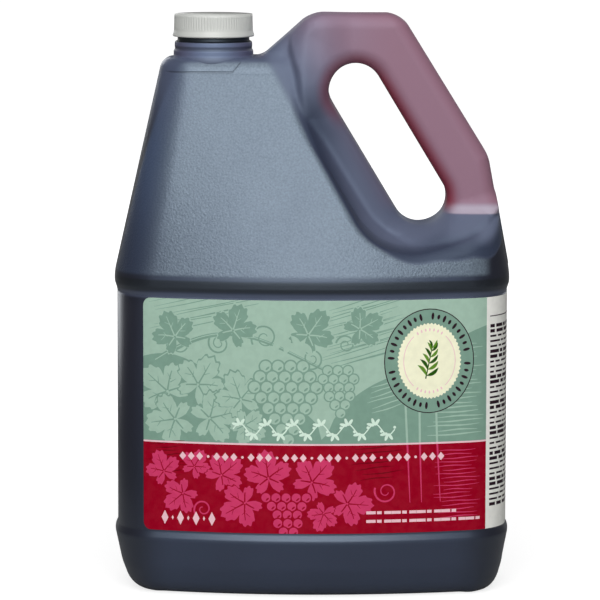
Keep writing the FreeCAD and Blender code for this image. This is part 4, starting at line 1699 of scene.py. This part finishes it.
@dataclass
class Label:
    """The film label: a flat print of plain inks wrapped round the sunk panel.

    The flat label's first coordinate is the run from the front's middle, to the right, and the
    second is the height from the base. Every place of words holds plain leaves, lozenges or bars.
    """

    plan: Plan
    low: float = 34.6
    high: float = 153.4
    sink: float = 1.3
    film: float = 0.2
    corner: float = 4.0
    left: float = -87.1
    past_side: float = 14.0
    band: float = 80.2
    line: float = 0.45
    strip: float = 90.7
    scroll: float = 87.8
    title: float = 73.4
    lozenges: float = 41.4
    foot_rows: tuple[tuple[float, int], ...] = ((45.2, 11), (40.8, 14))
    seal_at: Pair = (59.8, 122.2)
    bead_ring: Pair = (19.9, 22.8)
    seal_disc: Pair = (16.3, 19.0)
    seal_ring: Pair = (13.4, 15.9)
    panel_top: float = 138.6
    panel_gap: float = 2.62
    column_gap: float = 1.9
    art: Art = Art()

    def sheet(self, end: float) -> np.ndarray:
        """Outline of the label's own rectangle with round corners.

        Args:
            end: Its right edge.

        Returns:
            The outline, leftwards.
        """
        turn, radius = np.radians(np.linspace(0.0, 90.0, 8)), self.corner
        middle_x, middle_z = (self.left + end) / 2, (self.low + self.high) / 2
        corners = []
        for number, (x, z) in enumerate(((end, self.high), (self.left, self.high),
                                         (self.left, self.low), (end, self.low))):
            middle = (x - math.copysign(radius, x - middle_x), z - math.copysign(radius, z - middle_z))
            angle = turn + number * math.pi / 2
            corners.append(path_of(np.cos(angle), np.sin(angle)) * radius + middle)
        return np.concatenate(corners)

    def ground(self, end: float) -> list[Shape]:
        """The green field and its two darker hills.

        Args:
            end: The label's right end.

        Returns:
            The fields, from the bottom layer up.
        """
        share = np.linspace(0.0, 1.0, 30)
        right = path_of(8.0 + 84.0 * share, 86.0 + 53.0 * share**0.62 + 1.5 * np.sin(9.0 * share))
        left = path_of(self.left - 2 + 92.0 * share,
                       123.0 - 34.0 * share**2.2 + 3.0 * np.sin(9.0 * share))
        feet = ([[94.0, 78.0], [0.0, 78.0]], [[6.0, 78.0], [self.left - 2, 78.0]])
        hills = [Shape(np.concatenate([crest, foot])[::-1], Ink.SAGE)
                 for crest, foot in zip((right, left), feet)]
        return [Shape(self.sheet(end), Ink.LEAF)] + hills

    def vineyard(self) -> list[Shape]:
        """The green field's ornament of leaves, grapes and tendrils.

        Returns:
            The shapes, from the bottom layer up.
        """
        shapes = [mark for row in self.art.hatched_green for mark in hatching(*row)]
        share = np.linspace(0.0, 1.0, 40)
        cane = path_of(-86.0 + 108.0 * share, 118.0 + 15.0 * np.sin(4.2 * share) + 8.0 * share)
        shapes.append(stroke(cane, 2.6 - 1.5 * share, Ink.SAGE))
        shapes.append(stroke(cane[2:-2] + (0.0, 0.35), 0.5 - 0.2 * share[2:-2], Ink.LEAF))
        shapes += [tendril(*row, Ink.SAGE) for row in self.art.sage_tendrils]
        for leaves, ink, vein in ((self.art.sage_leaves, Ink.SAGE, Ink.LEAF),
                                  (self.art.pale_leaves, Ink.LEAF, Ink.SAGE)):
            shapes += [part for row in leaves for part in vine_leaf(*row, ink, vein)]
        shapes += grapes((-14.0, 120.0), 3.3, Ink.LEAF, Ink.SAGE, (4, 5, 6, 5, 4, 3, 2, 1))
        shapes += grapes((13.0, 118.0), 2.7, Ink.LEAF, Ink.SAGE, (3, 4, 3, 3, 2, 1))
        shapes += [long_leaf((-28.0 + 7.0 * number, 126.0 + 1.5 * (number % 2)), 9.0,
                             -60.0 + 28.0 * number, Ink.LEAF, 0.2) for number in range(5)]
        shapes += [stroke(path_of(start + lean * (1 - share), 79.0 + 30.0 * share), 1.1, Ink.LEAF)
                   for start, lean in self.art.green_posts]
        return shapes

    def cellar(self, end: float) -> list[Shape]:
        """The crimson field and its own leaves and grapes, with the pale line above it.

        Args:
            end: The label's right end.

        Returns:
            The shapes, from the bottom layer up.
        """
        shapes = [bar(self.left - 1, self.low - 1, self.strip, self.band, Ink.CRIMSON)]
        shapes += [mark for row in self.art.hatched_crimson for mark in hatching(*row)]
        shapes += [part for row in self.art.rose_leaves for part in vine_leaf(*row, Ink.ROSE, Ink.CRIMSON)]
        shapes += grapes((-13.0, 53.0), 2.7, Ink.ROSE, Ink.CRIMSON, (5, 4, 3, 3, 2))
        share = np.linspace(0.0, 1.0, 24)
        shapes += [stroke(path_of(start + lean * share, 80.0 - 30.0 * share), 1.0 - 0.6 * share, Ink.ROSE)
                   for start, lean in self.art.crimson_posts]
        shapes += [tendril(*row, Ink.ROSE) for row in self.art.rose_tendrils]
        shapes.append(bar(self.left - 1, self.band - self.line, self.strip, self.band + self.line, Ink.BLUSH))
        shapes.append(bar(self.strip, self.low - 1, end + 1, self.high + 1, Ink.PAPER))
        return shapes

    def leaf_scroll(self) -> list[Shape]:
        """A wavy stem with three leaves and a berry at each turn, in place of a title.

        Returns:
            The shapes.
        """
        share = np.linspace(0.0, 1.0, 120)
        stem = path_of(-40.0 + 82.0 * share, self.scroll + 2.9 * np.sin(12 * math.pi * share))
        shapes = [stroke(stem, 0.6, Ink.MINT)]
        for step in range(12):
            side = 1 if step % 2 == 0 else -1
            foot = (-36.6 + 6.83 * step, self.scroll + 2.8 * side)
            for turn in (-75.0, -20.0, 35.0):
                tip = (math.sin(math.radians(turn)), side * math.cos(math.radians(turn)))
                middle = (foot[0] + 2.2 * tip[0], foot[1] + 2.2 * tip[1] - 0.9 * side)
                shapes.append(spot(middle, 0.8, 2.0, 14, Ink.MINT, -turn * side))
            shapes.append(spot((foot[0] + 3.4, self.scroll - 1.0 * side), 0.75, 0.75, 10, Ink.MINT))
        return shapes

    def beads(self) -> list[Shape]:
        """Rows of plain lozenges and bars where such labels have their words.

        Returns:
            The shapes.
        """
        shapes = []
        for step in range(31):
            wide, tall, corners = (0.7, 0.7, 10) if step % 4 == 3 else (1.75, 2.1, 4)
            shapes.append(spot((-66.0 + 4.4 * step, self.title), wide, tall, corners, Ink.BLUSH))
        for step in range(7):
            tall = 3.6 if step % 2 == 0 else 1.2
            shapes.append(spot((-75.5 + 4.1 * step, self.lozenges), 0.5 * tall, tall, 4, Ink.BLUSH))
        for level, count in self.foot_rows:
            for step in range(count):
                half = 1.2 + 0.6 * ((step * 7 + count) % 3)
                middle = 30.0 + 4.3 * step
                shapes.append(bar(middle - half, level - 0.75, middle + half, level + 0.75, Ink.BLUSH))
        return shapes

    def seal(self) -> list[Shape]:
        """The round mark at the right: a ringed cream disc with a sprig.

        Returns:
            Its shapes, from the bottom layer up.
        """
        place, (x, z) = self.seal_at, self.seal_at
        shapes = [spot(place, 23.0, 26.2, 48, Ink.SAGE)]
        shapes += hoop(place, 23.2, 26.4, 0.5, Ink.SOOT)
        for step in (number for number in range(40) if number % 10):
            turn = 2 * math.pi * (step + 0.5) / 40
            bead = (x + self.bead_ring[0] * math.cos(turn), z + self.bead_ring[1] * math.sin(turn))
            shapes.append(spot(bead, 1.9 if step % 2 else 1.3, 0.75, 10, Ink.SOOT, math.degrees(turn)))
        turn = np.arange(216) * 2 * math.pi / 216
        scallop = (1.0 + 0.022 * np.cos(54 * turn))[:, None]
        shapes.append(Shape(self.seal_disc * scallop * round_turn(216) + place, Ink.CREAM))
        for first in (-52.0, 128.0):
            shapes += hoop(place, *self.seal_ring, 0.35, Ink.BLUSH, (first, first + 104.0))
        for first in (62.0, 242.0):
            for step in range(7):
                angle = math.radians(first + 9.3 * step)
                bead = (x + self.seal_ring[0] * math.cos(angle), z + self.seal_ring[1] * math.sin(angle))
                shapes.append(spot(bead, 0.85, 0.4, 8, Ink.BLUSH, math.degrees(angle)))
        share = np.linspace(0.0, 1.0, 12)
        stem = path_of(x - 2.0 + 3.5 * share, z - 9.0 + 17.0 * share)
        shapes.append(stroke(stem, 0.7 - 0.3 * share, Ink.FERN))
        for step in range(6):
            foot = stem[1 + 2 * step - (step > 4)]
            left, right = (Ink.SHOOT, Ink.FERN) if step % 2 else (Ink.FERN, Ink.SHOOT)
            shapes.append(long_leaf(foot, 7.4 - 0.5 * step, -58.0 + 5.0 * step, left, 0.13))
            shapes.append(long_leaf(foot, 7.0 - 0.5 * step, 40.0 - 4.0 * step, right, 0.13))
        return shapes

    def panel(self, end: float) -> list[Shape]:
        """Plain bars on the side strip, some bold and some thin.

        Args:
            end: The label's right end.

        Returns:
            The bars.
        """
        chance = np.random.default_rng(11)
        shapes = [bar(93.0, 143.4, end - 8.0, 143.9, Ink.SOOT)]
        for row in range(36):
            level = self.panel_top - self.panel_gap * row
            tall = 0.85 if row % 5 in (0, 1) else 0.5
            start = 93.2
            while start < end - 16.0:
                length = float(chance.uniform(2.5, 9.0))
                shapes.append(bar(start, level - tall, start + length, level + tall, Ink.SOOT))
                start += length + float(chance.uniform(0.8, 1.6))
        return shapes

    def print_sheet(self, end: float) -> list[Shape]:
        """All the label's shapes, from the bottom layer up."""
        return (self.ground(end) + self.vineyard() + self.cellar(end) + self.leaf_scroll()
                + self.beads() + self.seal() + self.panel(end))

    def cut_sheet(self, end: float) -> tuple[np.ndarray, np.ndarray, np.ndarray]:
        """Cut the flat print into triangles, by the shapes' outlines and evenly spaced lines.

        Args:
            end: The label's right end.

        Returns:
            The flat points, the triangles and the number of each one's ink, which is that of the
            topmost shape over it.
        """
        shapes = self.print_sheet(end)
        sizes = np.array([len(shape.outline) for shape in shapes])
        starts = np.concatenate([[0], np.cumsum(sizes)[:-1]])
        faces = [list(range(start, start + size)) for start, size in zip(starts, sizes)]
        columns = np.arange(math.floor(self.left) + 0.37, end, self.column_gap)
        lines = np.stack([path_of(columns, np.full(len(columns), level))
                          for level in (self.low - 0.5, self.high + 0.5)], axis=1)
        edges = (sizes.sum() + np.arange(2 * len(columns)).reshape(-1, 2)).tolist()
        points = np.concatenate([shape.outline for shape in shapes] + [lines.reshape(-1, 2)])
        cut = delaunay_2d_cdt([Vector(point) for point in points], edges, faces, 1, 1e-5, True)
        owners = cut[5]
        order = list(Ink)
        inks = np.array([order.index(shapes[max(owner)].ink) if owner else 0 for owner in owners])
        kept = np.array([0 in owner for owner in owners])
        used, triangles = np.unique(np.array(cut[2])[kept], return_inverse=True)
        flat = np.array([tuple(point) for point in cut[0]])
        return flat[used], triangles.reshape(-1, 3), inks[kept]

    def build(self) -> bpy.types.Object:
        """Print the label and wrap it.

        Each point of the cut sheet goes to the plan's point at its run, at its height.

        Returns:
            The piece, with its back and rim.
        """
        outer, inner = self.plan.inset(self.sink - self.film), self.plan.inset(self.sink)
        end = outer.quarter() + self.past_side
        flat, triangles, inks = self.cut_sheet(end)
        count = len(flat)
        share = (flat[:, 0] - self.left) / (end - self.left)
        first = self.left + 0.04
        back_run = first + share * (inner.quarter() + self.past_side - first)
        points = np.concatenate([np.column_stack([plan.walk(run)[0], flat[:, 1]])
                                 for plan, run in ((outer, flat[:, 0]), (inner, back_run))])
        sides = np.concatenate([triangles[:, [0, 1]], triangles[:, [1, 2]], triangles[:, [2, 0]]])
        keys = sides @ (2 * count, 1)
        rim = sides[~np.isin(sides @ (1, 2 * count), keys)]
        walls = np.stack([rim[:, 1], rim[:, 0], rim[:, 0] + count, rim[:, 1] + count], axis=1)
        faces = triangles.tolist() + (triangles[:, ::-1] + count).tolist() + walls.tolist()
        piece = make_piece("label_print", (points, faces), "label",
                           [ink.material() for ink in Ink])
        paper = np.full(len(triangles) + len(walls), list(Ink).index(Ink.PAPER))
        piece.data.polygons.foreach_set("material_index", np.concatenate([inks, paper]).astype(np.int32))
        ends = np.zeros(2 * len(piece.data.edges), dtype=np.int32)
        piece.data.edges.foreach_get("vertices", ends)
        rim = np.sort(np.concatenate([rim, rim + count]), axis=1)
        sharp = np.isin(np.sort(ends.reshape(-1, 2), axis=1) @ (2 * count, 1), rim @ (2 * count, 1))
        piece.data.edges.foreach_set("use_edge_sharp", sharp)
        return piece


# ---------------------------------------------------------------------------------------
# Studio
# ---------------------------------------------------------------------------------------


@dataclass
class Lamp:
    """One soft rectangular lamp, aimed at a point."""

    name: str
    place: Place
    aim: Place
    wide: float
    tall: float
    watts: float

    def build(self) -> None:
        """Hang the lamp."""
        light = bpy.data.lights.new(self.name, "AREA")
        light.shape = "RECTANGLE"
        light.size = self.wide
        light.size_y = self.tall
        light.energy = self.watts
        lamp = bpy.data.objects.new(self.name, light)
        lamp.location = self.place
        lamp.rotation_euler = (Vector(self.aim) - Vector(self.place)).to_track_quat("-Z", "Y").to_euler()
        bpy.context.scene.collection.objects.link(lamp)


@dataclass
class Studio:
    """A plain white floor, soft lamps and the camera."""

    distance: float = 2.0
    eye_x: float = -0.00615
    eye_z: float = 0.3926
    pitch: float = 83.0
    roll: float = 0.1
    lens: float = 234.1
    ambient: float = 0.13
    floor_reach: float = 30.0
    floor_greys: Pair = (0.4, 0.42)
    floor_glow: Pair = (0.78, 0.24)
    glow_reach: Span = (0.2, 0.6)
    lamps: list[Lamp] = field(default_factory=lambda: [
        Lamp("key", (-0.05, -1.7, 1.05), (0.0, 0.0, 0.18), 1.5, 0.8, 22.0),
        Lamp("front", (0.0, -2.3, 0.2), (0.0, 0.0, 0.12), 1.2, 0.5, 3.0),
        Lamp("top", (0.0, -0.75, 1.75), (0.0, 0.0, 0.25), 1.7, 1.3, 15.0),
        Lamp("back_left", (-0.9, 2.1, 0.75), (0.0, 0.0, 0.15), 1.0, 0.8, 7.0),
        Lamp("back_right", (0.9, 2.1, 0.75), (0.0, 0.0, 0.15), 1.0, 0.8, 4.0),
    ])

    def floor(self) -> None:
        """Lay a broad pale floor that the camera sees as white, apart from shadows."""
        graph = Graph("studio_floor")
        grain = graph.blend(graph.noise(3.0), *((grey, grey, grey) for grey in self.floor_greys))
        graph.join(grain, graph.shader.inputs["Base Color"])
        graph.shader.inputs["Roughness"].default_value = 0.9
        graph.shader.inputs["Specular IOR Level"].default_value = 0.0
        seen = graph.add("LightPath").outputs["Is Camera Ray"]
        graph.join(WHITE, graph.shader.inputs["Emission Color"])
        away = graph.vector("LENGTH", graph.place()).outputs["Value"]
        near, more = self.floor_glow
        level = graph.math("MULTIPLY_ADD", graph.step(away, self.glow_reach), more, near)
        graph.join(graph.product(seen, level), graph.shader.inputs["Emission Strength"])
        mesh = bpy.data.meshes.new("floor")
        corners = [(self.floor_reach * across, self.floor_reach * along, 0.0)
                   for across, along in ((-1, -1), (1, -1), (1, 1), (-1, 1))]
        mesh.from_pydata(corners, [], [(0, 1, 2, 3)])
        mesh.materials.append(graph.material)
        floor = bpy.data.objects.new("floor", mesh)
        bpy.context.scene.collection.objects.link(floor)

    def world(self) -> None:
        """Surround the scene with a dim even light that the camera sees as white."""
        world = bpy.data.worlds.new("studio")
        world.use_nodes = True
        tree = world.node_tree
        sky = tree.nodes["Background"]
        path = tree.nodes.new("ShaderNodeLightPath")
        level = tree.nodes.new("ShaderNodeMapRange")
        level.inputs["To Min"].default_value = self.ambient
        level.inputs["To Max"].default_value = 1.0
        tree.links.new(path.outputs["Is Camera Ray"], level.inputs["Value"])
        tree.links.new(level.outputs["Result"], sky.inputs["Strength"])
        sky.inputs["Color"].default_value = (*WHITE, 1.0)
        bpy.context.scene.world = world

    def camera(self) -> None:
        """Set the camera a little above the jug's middle, looking slightly down."""
        camera = bpy.data.cameras.new("camera")
        camera.lens = self.lens
        camera.sensor_width = 36.0
        holder = bpy.data.objects.new("camera", camera)
        holder.location = (self.eye_x, -self.distance, self.eye_z)
        pitch = Matrix.Rotation(math.radians(self.pitch), 3, "X")
        roll = Matrix.Rotation(math.radians(self.roll), 3, "Z")
        holder.rotation_euler = (pitch @ roll).to_euler()
        bpy.context.scene.collection.objects.link(holder)
        bpy.context.scene.camera = holder

    def build(self) -> None:
        """Set up the floor, the light and the camera."""
        self.floor()
        self.world()
        for lamp in self.lamps:
            lamp.build()
        self.camera()
        bpy.context.scene.view_settings.view_transform = "Standard"


def main() -> None:
    """Dress the jug and light it."""
    logging.basicConfig(level=logging.INFO)
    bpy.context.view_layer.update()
    Studio().build()
    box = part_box("bottle")
    plan = Plan(float(box[1][0]) / MM, float(box[1][1]) / MM, corner=28.0, front=280.0, side=170.0)
    plastic = JugPlastic().material()
    JugBase(plan).build(plastic)
    JugTop(plan).build(plastic)
    Neck(NECK_X).build(plastic)
    Label(plan).build()
    Cap(NECK_X).build(CapPlastic().material())
    dress("vinegar", Vinegar().material())


if __name__ == "__main__":
    main()
